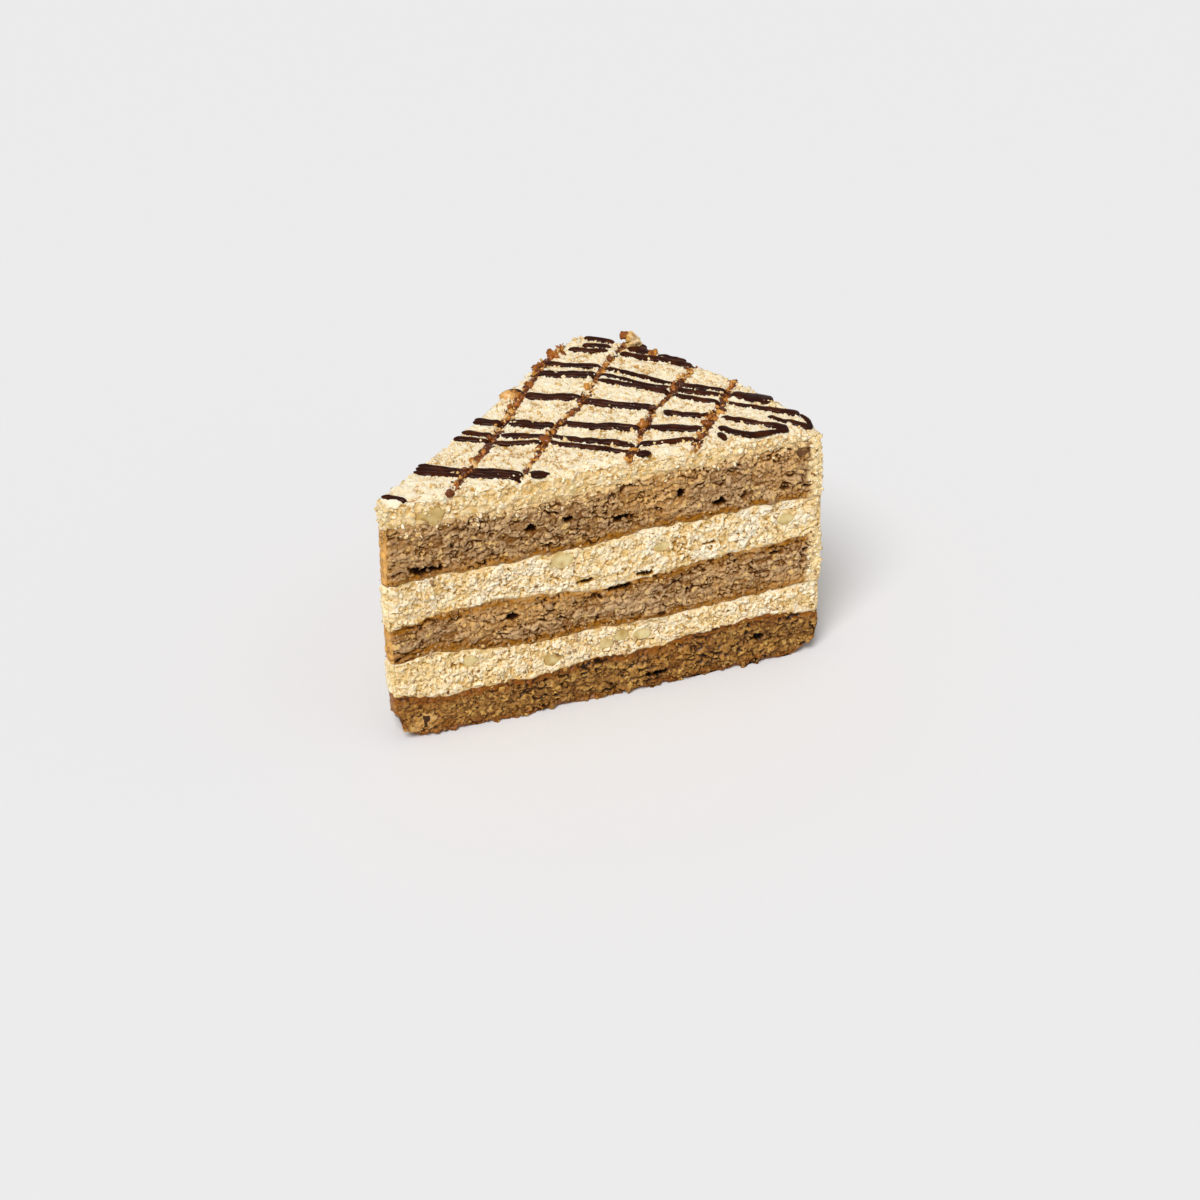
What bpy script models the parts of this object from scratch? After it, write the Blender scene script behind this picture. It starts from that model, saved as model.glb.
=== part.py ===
"""A slice of esterhazy torte: three nut sponges, three nut creams and a chocolate drizzle.

The slice is a wedge with a blunt tip and a curved rim. Lengths below are in millimetres. The plan is
laid out from the point where the two cuts would meet, with +X towards the rim, and is moved at the end
so that the origin is at the middle of the bottom.
"""

import math

import bmesh
import bpy
import numpy as np
from mathutils import Matrix, Vector, noise

MM = 0.001

# The wedge, seen from above.
HALF_ANGLE = math.radians(20.65)
TIP_ON_FRONT_CUT = 7.4
TIP_ON_BACK_CUT = 9.9
TIP_BULGE = 0.5
RIM_RADIUS = 131.9
RIM_CENTRE = (-17.9, -4.6)
MIDDLE = (60.61, -0.29)

# The layers, from the bottom up. The heights are of each layer's top along the front cut, at STATIONS
# millimetres from the tip, and GAP is left between one layer and the next.
GAP = 0.3
STATIONS = (0, 8, 20, 35, 50, 65, 80, 95, 110)
LAYER_TOPS = {
    "base_sponge": (12.5, 10.2, 10.0, 9.9, 11.2, 10.8, 12.2, 12.8, 10.8),
    "lower_cream": (21.0, 21.7, 20.2, 18.9, 19.2, 18.5, 18.9, 19.2, 20.2),
    "middle_sponge": (30.0, 31.2, 32.2, 31.4, 29.7, 30.4, 31.6, 32.1, 33.2),
    "upper_cream": (41.3, 41.6, 41.1, 41.4, 41.3, 42.6, 42.4, 43.1, 43.2),
    "top_sponge": (56.0, 55.5, 55.5, 55.1, 56.2, 56.7, 57.5, 57.9, 58.2),
    "top_cream": (61.2, 61.3, 61.3, 61.0, 61.2, 61.3, 61.2, 60.8, 60.5),
}
FRONT_LEAN = 1.2
# Away from the front cut and the tip, a layer's top is a slow wave: its height, its length over 2 pi in
# the lowest layer, how far each layer's wave is shifted, and how far from the tip it sets in.
HIDDEN_WAVE = 0.7
WAVE_LENGTH = 13.0
WAVE_SHIFT = 1.9
WAVE_SETS_IN = 14.0
LAYER_COLOURS = {
    "base_sponge": (0.24, 0.11, 0.03),
    "lower_cream": (0.72, 0.57, 0.33),
    "middle_sponge": (0.36, 0.20, 0.09),
    "upper_cream": (0.76, 0.61, 0.36),
    "top_sponge": (0.38, 0.22, 0.09),
    "top_cream": (0.80, 0.66, 0.42),
}
FOOD_ROUGHNESS = 0.8

# The rounded foot that the cake ring gives the base at the tip and at the rim.
FOOT_REACH = 8.5
FOOT_RISE = 6.6
EDGE_CRUMBLE = 0.6

# Crumb relief on the outer faces. Its noise has coarse lumps, and finer ones of a share of their height.
CRUMB = {"sponge": 0.8, "cream": 0.5}
CRUMB_SIZE = 3.1
CRUMB_RECESS = 0.4
TOP_RELIEF = 0.25
TOP_LUMPS = 0.6
FINE_LUMPS = 2.1
FINE_SHARE = 0.5
NOISE_SHIFT = (17.3, 5.1, 9.7)
LAYER_SHIFT = 40.0
ON_EDGE = 1e-4

# How finely each layer is divided: along the length, and the places across it.
ALONG = 28
ACROSS = (0.0, 0.05, 0.18, 0.34, 0.5, 0.66, 0.82, 0.95, 1.0)
END_CROWDING = 0.25
CROWDING_STARTS = 0.35
ROW_HEIGHT = 3.4

# The drizzle runs at DRIZZLE_ANGLE to the slice's middle line. A place on the top is given by its
# station, across the strands, and its run, along them, both from the tip's back corner. The cake was
# scored at SCORE_RUNS after it was drizzled, which broke each pass of chocolate into shifted strands.
DRIZZLE_ANGLE = math.radians(-59.0)
SCORE_RUNS = (15.2, 29.3, 49.6, 63.2)
SCORE_STATIONS = (-5.0, 112.0)
SCORE_WIDTH = 1.9
SCORE_DEPTH = 0.9
STRAND_CLEARANCE = 0.7
STRAND_STEP = 5.0
STRAND_WOBBLE = 0.35
STRAND_WOBBLE_LENGTH = 2.6
STRAND_END = 0.6
STRAND_LIFT = 0.3
STRAND_HEIGHT = 0.5
STRAND_HEIGHT_OVER_WIDTH = 0.17
STRAND_SAMPLES = 100
EDGE_INSET = 0.6
# Each strand: its station where it starts and where it ends, its width, and its run where that isn't
# the whole way between two score lines.
STRANDS = {
    0: (
        (1.6, 1.0, 1.8, 1.2, 7.2),
        (16.8, 15.2, 4.2),
        (34.5, 34.3, 1.6),
        (38.9, 37.6, 1.6),
        (44.2, 44.6, 2.8),
        (59.8, 60.8, 3.0),
    ),
    1: (
        (16.7, 17.6, 4.5),
        (33.8, 36.5, 1.6),
        (38.0, 39.8, 1.8),
        (44.9, 45.7, 2.8),
        (60.2, 61.3, 3.0),
        (73.2, 75.4, 3.2),
        (79.4, 81.0, 1.8),
        (89.2, 91.3, 1.8, 18.6, 28.6),
        (92.8, 94.0, 1.8, 21.3, 28.6),
        (98.0, 97.5, 1.8, 20.4, 28.6),
    ),
    2: (
        (19.0, 20.5, 3.0, 30.2, 33.9),
        (36.8, 35.8, 1.6),
        (39.8, 39.8, 1.8),
        (47.3, 48.6, 2.6),
        (60.3, 60.7, 3.0),
        (73.2, 71.2, 1.6),
        (76.0, 73.4, 1.4),
        (80.9, 75.8, 1.6),
        (91.2, 89.0, 2.0),
        (92.4, 91.6, 1.5, 41.2, 48.9),
    ),
    3: (
        (35.0, 36.2, 2.2, 50.4, 54.1),
        (40.4, 46.8, 1.8),
        (49.5, 52.6, 2.4),
        (59.9, 59.7, 1.8, 51.0, 60.8),
        (69.9, 69.0, 1.6),
        (73.3, 72.4, 1.8),
        (76.2, 76.2, 1.6),
    ),
    4: (
        (50.5, 48.3, 2.6, 66.0, 71.0),
        (53.6, 52.9, 2.2, 65.2, 79.0),
        (60.9, 57.6, 2.0, 64.4, 78.9),
        (69.2, 67.0, 1.4, 64.6, 83.0),
        (74.0, 73.4, 5.0, 65.2, 76.8),
        (63.4, 60.5, 1.6, 75.5, 84.5),
    ),
}

# The curl of scored crust that stands up at the rim.
CURL_STATION = 96.4
CURL_RUN = 33.0
CURL_SIZE = (2.7, 1.7, 2.8)
CURL_LIFT = 0.3
CURL_LUMP_SIZE = 1.7
CURL_LUMP_HEIGHT = 0.5
CURL_SEED = 11

DRIZZLE_ALONG = np.array((math.cos(DRIZZLE_ANGLE), math.sin(DRIZZLE_ANGLE)))
DRIZZLE_ACROSS = np.array((-DRIZZLE_ALONG[1], DRIZZLE_ALONG[0]))
TIP_CORNER = TIP_ON_BACK_CUT * np.array((math.cos(HALF_ANGLE), math.sin(HALF_ANGLE)))


def clear_scene():
    """Removes every object that a new Blender file starts with."""
    for thing in list(bpy.data.objects):
        bpy.data.objects.remove(thing, do_unlink=True)


def smooth_interp(x, stations, heights):
    """A smooth curve through the heights: a cubic in each span, with the slopes of its neighbours."""
    knots = np.asarray(stations, float)
    values = np.asarray(heights, float)
    slopes = np.gradient(values, knots)
    x = np.clip(x, knots[0], knots[-1])
    span = np.clip(np.searchsorted(knots, x) - 1, 0, len(knots) - 2)
    width = knots[span + 1] - knots[span]
    t = (x - knots[span]) / width
    rise = t * t * (3 - 2 * t)
    lead = t * (1 - t) ** 2 * width * slopes[span]
    trail = t * t * (1 - t) * width * slopes[span + 1]
    return values[span] * (1 - rise) + values[span + 1] * rise + lead - trail


def place_along_and_across(x, y):
    """How far a place on the plan is from the tip, and how far across: 0 at the front cut, 1 at the back."""
    along = np.hypot(x, y) - TIP_ON_FRONT_CUT
    across = (np.arctan2(y, x) + HALF_ANGLE) / (2 * HALF_ANGLE)
    return along, np.clip(across, 0.0, 1.0)


def layer_top(layer, x, y):
    """The height of a layer's top at a place on the plan.

    It follows LAYER_TOPS along the front cut. Away from it the layer goes over to its own slow wave
    about the mean height, because no layer of a hand-made cake is even.
    """
    heights = LAYER_TOPS[layer]
    order = list(LAYER_TOPS).index(layer)
    along, across = place_along_and_across(x, y)
    front = smooth_interp(along, STATIONS, heights)
    wave = HIDDEN_WAVE * np.sin(along / (WAVE_LENGTH + order) + WAVE_SHIFT * order)
    settle = 1 - np.exp(-np.clip(along, 0, None) / WAVE_SETS_IN)
    back = front * (1 - settle) + (np.mean(heights) + wave) * settle
    blend = across * across * (3 - 2 * across)
    return front * (1 - blend) + back * blend


def foot_height(x, y):
    """How high the base's underside has curved up, at a place on the plan.

    The curve is a quarter ellipse at the tip and at the rim, and the underside is flat between them.
    """
    along, across = place_along_and_across(x, y)
    tip_at = (TIP_ON_BACK_CUT - TIP_ON_FRONT_CUT) * across
    from_rim = RIM_RADIUS - np.hypot(x - RIM_CENTRE[0], y - RIM_CENTRE[1])
    inset = np.clip(np.minimum(along - tip_at, from_rim) / FOOT_REACH, 0.0, 1.0)
    return FOOT_RISE * (1 - np.sqrt(1 - (1 - inset) ** 2))


def wedge_plan(u, v):
    """The place on the plan at u from tip to rim and v from front cut to back cut, each 0 to 1.

    The tip is a chord with a slight bulge, the rim is an arc, and a straight line joins each place on
    the one to the like place on the other.
    """
    reach = TIP_ON_FRONT_CUT * (1 - v) + TIP_ON_BACK_CUT * v
    side = 2 * v - 1
    tip_x = reach * math.cos(HALF_ANGLE) - TIP_BULGE * (1 - side**2)
    tip_y = side * reach * math.sin(HALF_ANGLE)
    ends = []
    for sign in (-1, 1):
        direction = np.array((math.cos(HALF_ANGLE), sign * math.sin(HALF_ANGLE)))
        nearest = direction @ RIM_CENTRE
        to_rim = nearest + math.sqrt(nearest**2 + RIM_RADIUS**2 - np.dot(RIM_CENTRE, RIM_CENTRE))
        corner = to_rim * direction - RIM_CENTRE
        ends.append(math.atan2(corner[1], corner[0]))
    angle = ends[0] * (1 - v) + ends[1] * v
    rim_x = RIM_CENTRE[0] + RIM_RADIUS * np.cos(angle)
    rim_y = RIM_CENTRE[1] + RIM_RADIUS * np.sin(angle)
    return tip_x * (1 - u) + rim_x * u, tip_y * (1 - u) + rim_y * u


def divided_box(along, across, up):
    """A unit box whose faces are divided into so many cells each way."""
    box = bmesh.new()
    bmesh.ops.create_cube(box, size=1.0, matrix=Matrix.Translation((0.5, 0.5, 0.5)))
    for axis, cells in enumerate((along, across, up)):
        edges = [e for e in box.edges if abs((e.verts[0].co - e.verts[1].co)[axis]) > 0.5 / cells]
        if cells > 1:
            bmesh.ops.subdivide_edges(box, edges=edges, cuts=cells - 1, use_grid_fill=True)
    bmesh.ops.triangulate(box, faces=box.faces[:], quad_method="FIXED")
    return box


def crumb(points, size, seed):
    """Uneven values of about -1 to 1 at each point, with lumps of the given size."""
    shift = seed * Vector(NOISE_SHIFT)
    coarse = [noise.noise(Vector(point) / size + shift) for point in points]
    fine = [noise.noise(Vector(point) / size * FINE_LUMPS - shift) for point in points]
    return np.array(coarse) + FINE_SHARE * np.array(fine)


def make_layer(name, floor_layer):
    """One layer of the cake, as an object whose mesh is in millimetres on the plan."""
    order = list(LAYER_TOPS).index(name)
    thickness = np.mean(LAYER_TOPS[name])
    if floor_layer:
        thickness -= np.mean(LAYER_TOPS[floor_layer])
    box = divided_box(ALONG, len(ACROSS) - 1, max(2, round(thickness / ROW_HEIGHT)))
    mesh = bpy.data.meshes.new(name)
    box.to_mesh(mesh)
    box.free()
    unit = np.empty(len(mesh.vertices) * 3)
    mesh.vertices.foreach_get("co", unit)
    even_u, even_v, w = unit.reshape(-1, 3).T
    u = even_u * (1 - END_CROWDING) + END_CROWDING * (1 - np.cos(math.pi * even_u)) / 2
    crowded_v = np.interp(even_v, np.linspace(0, 1, len(ACROSS)), ACROSS)
    v = even_v + (crowded_v - even_v) * np.clip(u / CROWDING_STARTS, 0, 1)
    x, y = wedge_plan(u, v)

    top = layer_top(name, x, y) - GAP / 2
    bottom = layer_top(floor_layer, x, y) + GAP / 2 if floor_layer else foot_height(x, y)
    on_edge = (np.minimum(u, v) < ON_EDGE) | (np.maximum(u, v) > 1 - ON_EDGE)
    points = np.column_stack((x, y, w * thickness + LAYER_SHIFT * order))
    lumps = crumb(points, CRUMB_SIZE, order + 1)
    if not floor_layer:
        bottom = bottom + np.where(on_edge, EDGE_CRUMBLE * (1 + lumps), 0.0)
    if name == list(LAYER_TOPS)[-1]:
        top = top + GAP / 2 + np.where(on_edge, -EDGE_CRUMBLE, TOP_RELIEF) * (1 + TOP_LUMPS * lumps)
    z = bottom * (1 - w) + top * w

    outward = np.zeros((len(x), 2))
    cut_x, cut_y = math.sin(HALF_ANGLE), math.cos(HALF_ANGLE)
    outward[v < ON_EDGE] += (-cut_x, -cut_y)
    outward[v > 1 - ON_EDGE] += (-cut_x, cut_y)
    outward[u < ON_EDGE] += (-1.0, 0.0)
    outward[u > 1 - ON_EDGE] += (1.0, 0.0)
    length = np.hypot(*outward.T)
    outward /= np.where(length > 0, length, 1.0)[:, None]
    push = CRUMB["sponge" if "sponge" in name else "cream"] * (lumps - CRUMB_RECESS)
    lean = -FRONT_LEAN * z / LAYER_TOPS["top_cream"][0] * (1 - v) ** 2
    x = x + outward[:, 0] * push - cut_x * lean
    y = y + outward[:, 1] * push - cut_y * lean
    mesh.vertices.foreach_set("co", np.column_stack((x, y, z)).ravel())
    mesh.update()
    layer = bpy.data.objects.new(name, mesh)
    bpy.context.scene.collection.objects.link(layer)
    return layer


def on_top(station, run):
    """The place on the plan of a station and a run of the drizzle."""
    return TIP_CORNER + station * DRIZZLE_ACROSS + run * DRIZZLE_ALONG


def tube_on_top(name, start, end, width, height, sink):
    """A flattened tube that lies along the top of the cake, as a mesh object.

    Args:
        name: the object's name.
        start: the station and run where it starts.
        end: the station and run where it ends.
        width: how wide it is.
        height: how far it stands above its middle line, and reaches below it.
        sink: how far its middle line is below the cake's top.
    """
    steps = max(3, round(math.dist(start, end) / STRAND_STEP) + 1)
    share = np.linspace(0, 1, steps)
    station = start[0] + (end[0] - start[0]) * share
    run = start[1] + (end[1] - start[1]) * share
    sway = np.sin(run / STRAND_WOBBLE_LENGTH + start[0]) * np.sin(math.pi * share)
    station = station + STRAND_WOBBLE * sway
    path = [on_top(s, r) for s, r in zip(station, run)]
    curve = bpy.data.curves.new(name, "CURVE")
    curve.dimensions = "3D"
    curve.bevel_depth = width / 2
    curve.bevel_resolution = 1
    curve.use_fill_caps = True
    curve.twist_mode = "Z_UP"
    spline = curve.splines.new("POLY")
    spline.points.add(steps - 1)
    for point, place in zip(spline.points, path):
        point.co = (place[0], place[1], 0.0, 1.0)
    spline.points[0].radius = STRAND_END
    spline.points[-1].radius = STRAND_END
    drawn = bpy.data.objects.new(name, curve)
    bpy.context.scene.collection.objects.link(drawn)
    bpy.context.view_layer.update()
    mesh = bpy.data.meshes.new_from_object(drawn.evaluated_get(bpy.context.evaluated_depsgraph_get()))
    bpy.data.objects.remove(drawn, do_unlink=True)

    welded = bmesh.new()
    welded.from_mesh(mesh)
    bmesh.ops.remove_doubles(welded, verts=welded.verts[:], dist=0.001)
    bmesh.ops.triangulate(welded, faces=welded.faces[:])
    bmesh.ops.recalc_face_normals(welded, faces=welded.faces[:])
    flatness = height / (width / 2)
    for vertex in welded.verts:
        ground = layer_top("top_cream", vertex.co.x, vertex.co.y)
        vertex.co.z = float(ground) - sink + vertex.co.z * flatness
    welded.to_mesh(mesh)
    welded.free()
    tube = bpy.data.objects.new(name, mesh)
    bpy.context.scene.collection.objects.link(tube)
    return tube


def depth_in_slice(place):
    """How far a place on the plan is inside the nearest edge of the top: a cut, the tip or the rim."""
    x, y = place
    from_front = x * math.sin(HALF_ANGLE) + y * math.cos(HALF_ANGLE) - FRONT_LEAN
    from_back = x * math.sin(HALF_ANGLE) - y * math.cos(HALF_ANGLE)
    from_rim = RIM_RADIUS - math.dist(place, RIM_CENTRE)
    return min(from_front, from_back, from_rim)


def strand_ends(cell, strand):
    """The station and run of a strand's two ends, clear of the score lines and of the slice's edge."""
    starts = (0.0,) + tuple(run + STRAND_CLEARANCE for run in SCORE_RUNS)
    ends = tuple(run - STRAND_CLEARANCE for run in SCORE_RUNS) + (0.0,)
    from_run, to_run = strand[3:] if len(strand) > 3 else (starts[cell], ends[cell])
    run = np.linspace(from_run, to_run, STRAND_SAMPLES)
    station = np.linspace(strand[0], strand[1], STRAND_SAMPLES)
    inside = [depth_in_slice(on_top(*place)) > EDGE_INSET for place in zip(station, run)]
    first, last = np.flatnonzero(inside)[[0, -1]]
    return (station[first], run[first]), (station[last], run[last])


def make_curl():
    """The curl of crust at the rim: a squashed ball with an uneven skin, turned along its score line."""
    place = on_top(CURL_STATION, CURL_RUN)
    ball = bmesh.new()
    turn = Matrix.Rotation(DRIZZLE_ANGLE + math.pi / 2, 4, "Z")
    lift = float(layer_top("top_cream", *place)) + CURL_LIFT * CURL_SIZE[2]
    spot = Matrix.Translation((place[0], place[1], lift))
    shape = spot @ turn @ Matrix.Diagonal((*CURL_SIZE, 1.0))
    bmesh.ops.create_icosphere(ball, subdivisions=2, radius=1.0, matrix=shape)
    lumps = crumb([vertex.co[:] for vertex in ball.verts], CURL_LUMP_SIZE, CURL_SEED)
    for vertex, lump in zip(ball.verts, lumps):
        vertex.co += float(CURL_LUMP_HEIGHT * lump) * (vertex.co - spot.translation).normalized()
    mesh = bpy.data.meshes.new("curl")
    ball.to_mesh(mesh)
    ball.free()
    curl = bpy.data.objects.new("curl", mesh)
    bpy.context.scene.collection.objects.link(curl)
    return curl


def combine(base, pieces, operation, solver="EXACT"):
    """Joins all the pieces to the base, or cuts them all out of it, in one Boolean that is applied."""
    tools = bpy.data.collections.new(operation.lower())
    bpy.context.scene.collection.children.link(tools)
    for piece in pieces:
        bpy.context.scene.collection.objects.unlink(piece)
        tools.objects.link(piece)
    boolean = base.modifiers.new(operation.title(), "BOOLEAN")
    boolean.operation = operation
    boolean.operand_type = "COLLECTION"
    boolean.collection = tools
    boolean.solver = solver
    bpy.context.view_layer.update()
    result = bpy.data.meshes.new_from_object(base.evaluated_get(bpy.context.evaluated_depsgraph_get()))
    base.modifiers.clear()
    base.data = result
    for piece in list(tools.objects):
        bpy.data.objects.remove(piece, do_unlink=True)
    bpy.data.collections.remove(tools)


def dress_top(cream):
    """Scores the top of the cake and pipes the drizzle and the curl on it."""
    cuts = []
    for number, run in enumerate(SCORE_RUNS):
        ends = (SCORE_STATIONS[0], run), (SCORE_STATIONS[1], run)
        cuts.append(tube_on_top(f"score_{number}", *ends, SCORE_WIDTH, SCORE_DEPTH, 0.0))
    combine(cream, cuts, "DIFFERENCE")
    strands = []
    for cell, pieces in STRANDS.items():
        for number, strand in enumerate(pieces):
            start, end = strand_ends(cell, strand)
            width = strand[2]
            height = STRAND_HEIGHT + STRAND_HEIGHT_OVER_WIDTH * width
            strands.append(tube_on_top(f"strand_{cell}_{number}", start, end, width, height, -STRAND_LIFT))
    combine(cream, strands + [make_curl()], "UNION", "MANIFOLD")


def finish(layer, collection):
    """Moves a layer to its place in metres, gives it its material and files it with the cake."""
    middle = Vector((MIDDLE[0], MIDDLE[1], 0.0))
    layer.data.transform(Matrix.Scale(MM, 4) @ Matrix.Translation(-middle))
    material = bpy.data.materials.new(layer.name)
    material.use_nodes = True
    skin = material.node_tree.nodes["Principled BSDF"]
    skin.inputs["Base Color"].default_value = (*LAYER_COLOURS[layer.name], 1.0)
    skin.inputs["Roughness"].default_value = FOOD_ROUGHNESS
    skin.inputs["Metallic"].default_value = 0.0
    layer.data.materials.clear()
    layer.data.materials.append(material)
    layer.data.shade_smooth()
    bpy.context.scene.collection.objects.unlink(layer)
    collection.objects.link(layer)


def main():
    """Builds the slice, layer by layer from the bottom up."""
    clear_scene()
    cake = bpy.data.collections.new("esterhazy_torte_slice")
    bpy.context.scene.collection.children.link(cake)
    floor_layer = None
    for name in LAYER_TOPS:
        layer = make_layer(name, floor_layer)
        if name == "top_cream":
            dress_top(layer)
        finish(layer, cake)
        floor_layer = name


main()
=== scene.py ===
"""Dresses a slice of esterhazy torte: nut sponge, nut cream, chocolate drizzle and scored crust.

Lengths are in millimetres on the slice's plan, which is laid out from the point where its two cuts
would meet, with +X towards the rim. Finished pieces are moved to metres about the slice's middle.
"""

import itertools
import logging
import math
from dataclasses import dataclass, field
from enum import Enum

import bpy
import numpy as np
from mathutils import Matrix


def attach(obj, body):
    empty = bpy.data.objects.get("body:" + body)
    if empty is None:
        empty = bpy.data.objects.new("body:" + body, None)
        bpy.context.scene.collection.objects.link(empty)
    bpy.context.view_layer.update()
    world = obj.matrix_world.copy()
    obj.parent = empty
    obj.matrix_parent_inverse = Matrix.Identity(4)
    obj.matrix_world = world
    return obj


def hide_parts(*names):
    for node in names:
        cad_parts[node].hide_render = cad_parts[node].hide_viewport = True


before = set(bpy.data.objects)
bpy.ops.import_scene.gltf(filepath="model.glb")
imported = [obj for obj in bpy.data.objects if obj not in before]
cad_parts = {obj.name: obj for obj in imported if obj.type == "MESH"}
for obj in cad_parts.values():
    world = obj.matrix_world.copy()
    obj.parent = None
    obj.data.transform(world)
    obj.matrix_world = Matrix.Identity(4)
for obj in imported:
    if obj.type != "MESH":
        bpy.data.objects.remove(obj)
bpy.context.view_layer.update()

Array = np.ndarray
Material = bpy.types.Material
LOG = logging.getLogger("torte")

MM = 0.001
BODY = "root"
UP = np.array((0.0, 0.0, 1.0))


# ----- Uneven values: everything rough on the cake comes from these -----

def lattice_random(cells: Array, seed: int) -> Array:
    """Gives each whole-number cell a repeatable random number.

    The three whole numbers are multiplied by large odd numbers and joined by exclusive or, and the
    result is stirred by shifts and products until its bits are even.

    Args:
        cells: whole numbers, the last axis of length 3.
        seed: which of the many random fields to read.

    Returns:
        One number from 0 to 1 for each cell.
    """
    whole = cells.astype(np.int64).astype(np.uint32)
    mixed = np.uint32((seed + 1) * 0x9E3779B1 & 0xFFFFFFFF)
    for axis, odd in enumerate((0x8DA6B343, 0xD8163841, 0xCB1AB31F)):
        mixed = mixed ^ (whole[..., axis] * np.uint32(odd))
    for shift, odd in ((15, 0x85EBCA6B), (13, 0xC2B2AE35), (16, 0x27D4EB2F)):
        mixed ^= mixed >> np.uint32(shift)
        mixed *= np.uint32(odd)
    mixed ^= mixed >> np.uint32(15)
    return mixed / 4294967296.0


def waves(points: Array, size: float | tuple[float, float, float], seed: int) -> Array:
    """Smooth uneven values: lattice random numbers, blended by 3t² − 2t³ between the cell's corners.

    Args:
        points: places, the last axis of length 3.
        size: how far apart the lattice's corners are, the same or one for each axis.
        seed: which random field to read.

    Returns:
        One value from -1 to 1 for each place.
    """
    scaled = points / np.asarray(size, float)
    cell = np.floor(scaled)
    share = scaled - cell
    share = share * share * (3 - 2 * share)
    total = np.zeros(points.shape[:-1])
    for corner in np.ndindex(2, 2, 2):
        weight = np.prod(np.where(corner, share, 1 - share), axis=-1)
        total += weight * lattice_random(cell + corner, seed)
    return 2 * total - 1


def crumbs(points: Array, size: Array, ragged: float, seed: int) -> tuple[Array, Array, Array, Array]:
    """Relief of packed crumbs, each a tilted slab with worn edges.

    Each lattice cell has one crumb's centre at random. The places are first bent by waves, which
    makes the crumbs ragged, and belong to the nearest centre. A crumb's height is a random step,
    plus a random slope times the way from its centre, plus half of an ease over its border.

    Args:
        points: places, the last axis of length 3.
        size: the crumbs' size on each axis.
        ragged: how far the places are bent, in crumbs.
        seed: which random field to read.

    Returns:
        The relief, about -0.5 to 1, the distance to the crumb's border in cells, how far the border
        is above or below the crumb's centre rather than beside it, and the crumb's random number.
    """
    reach = 0.55 * float(np.mean(size))
    bend = np.stack([waves(points, reach, seed + 20 + axis) for axis in range(3)], axis=-1)
    scaled = (points + ragged * size * bend) / size
    base = np.floor(scaled)
    nearest, second = np.full((2, *points.shape[:-1]), 9.0)
    home = base.copy()
    way = np.zeros_like(points)
    for corner in np.ndindex(3, 3, 3):
        cell = base + np.array(corner) - 1
        gap = scaled - cell - np.stack([lattice_random(cell, seed + axis) for axis in range(3)], axis=-1)
        distance = np.linalg.norm(gap, axis=-1)
        closer = distance < nearest
        second = np.where(closer, nearest, np.minimum(second, distance))
        nearest = np.where(closer, distance, nearest)
        home[closer] = cell[closer]
        way[closer] = gap[closer]
    border = second - nearest
    label = lattice_random(home, seed + 3)
    slope = np.stack([lattice_random(home, seed + 4 + axis) - 0.5 for axis in range(3)], axis=-1)
    relief = label - 0.5 + 0.5 * ease(0.0, 0.3, border) + (slope * way).sum(axis=-1)
    return relief, border, np.abs(way[..., 2]) / np.maximum(nearest, 1e-6), label


def ease(low: float, high: float, values: Array) -> Array:
    """Rises smoothly from 0 at low to 1 at high, as 3t² − 2t³."""
    share = np.clip((values - low) / (high - low), 0, 1)
    return share * share * (3 - 2 * share)


def bell(distance: Array, width: float) -> Array:
    """1 at no distance, fading as exp(−(distance / width)²)."""
    return np.exp(-((distance / width) ** 2))


def at_height(x: Array, y: Array, height: float = 0.0) -> Array:
    """Places from x and y, all at one height."""
    return np.stack((x, y, np.full(np.shape(x), height)), axis=-1)


def spread_label(label: Array) -> Array:
    """A mean of random numbers, stretched about the middle so that it again fills 0 to 1."""
    return np.clip(1.6 * label - 0.3, 0, 1)


# ----- The slice's plan and its layers -----

class Side(Enum):
    """The four sides of the slice, in the order that its outline meets them."""

    FRONT = 0
    RIM = 1
    BACK = 2
    TIP = 3


@dataclass(frozen=True)
class Outline:
    """The slice's outline, walked counter-clockwise from the tip's front corner."""

    places: Array
    side: Array
    run: Array
    corner: Array

    def on(self, *sides: Side) -> Array:
        """Which of the places are on any of some sides."""
        return np.isin(self.side, [side.value for side in sides])


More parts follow.
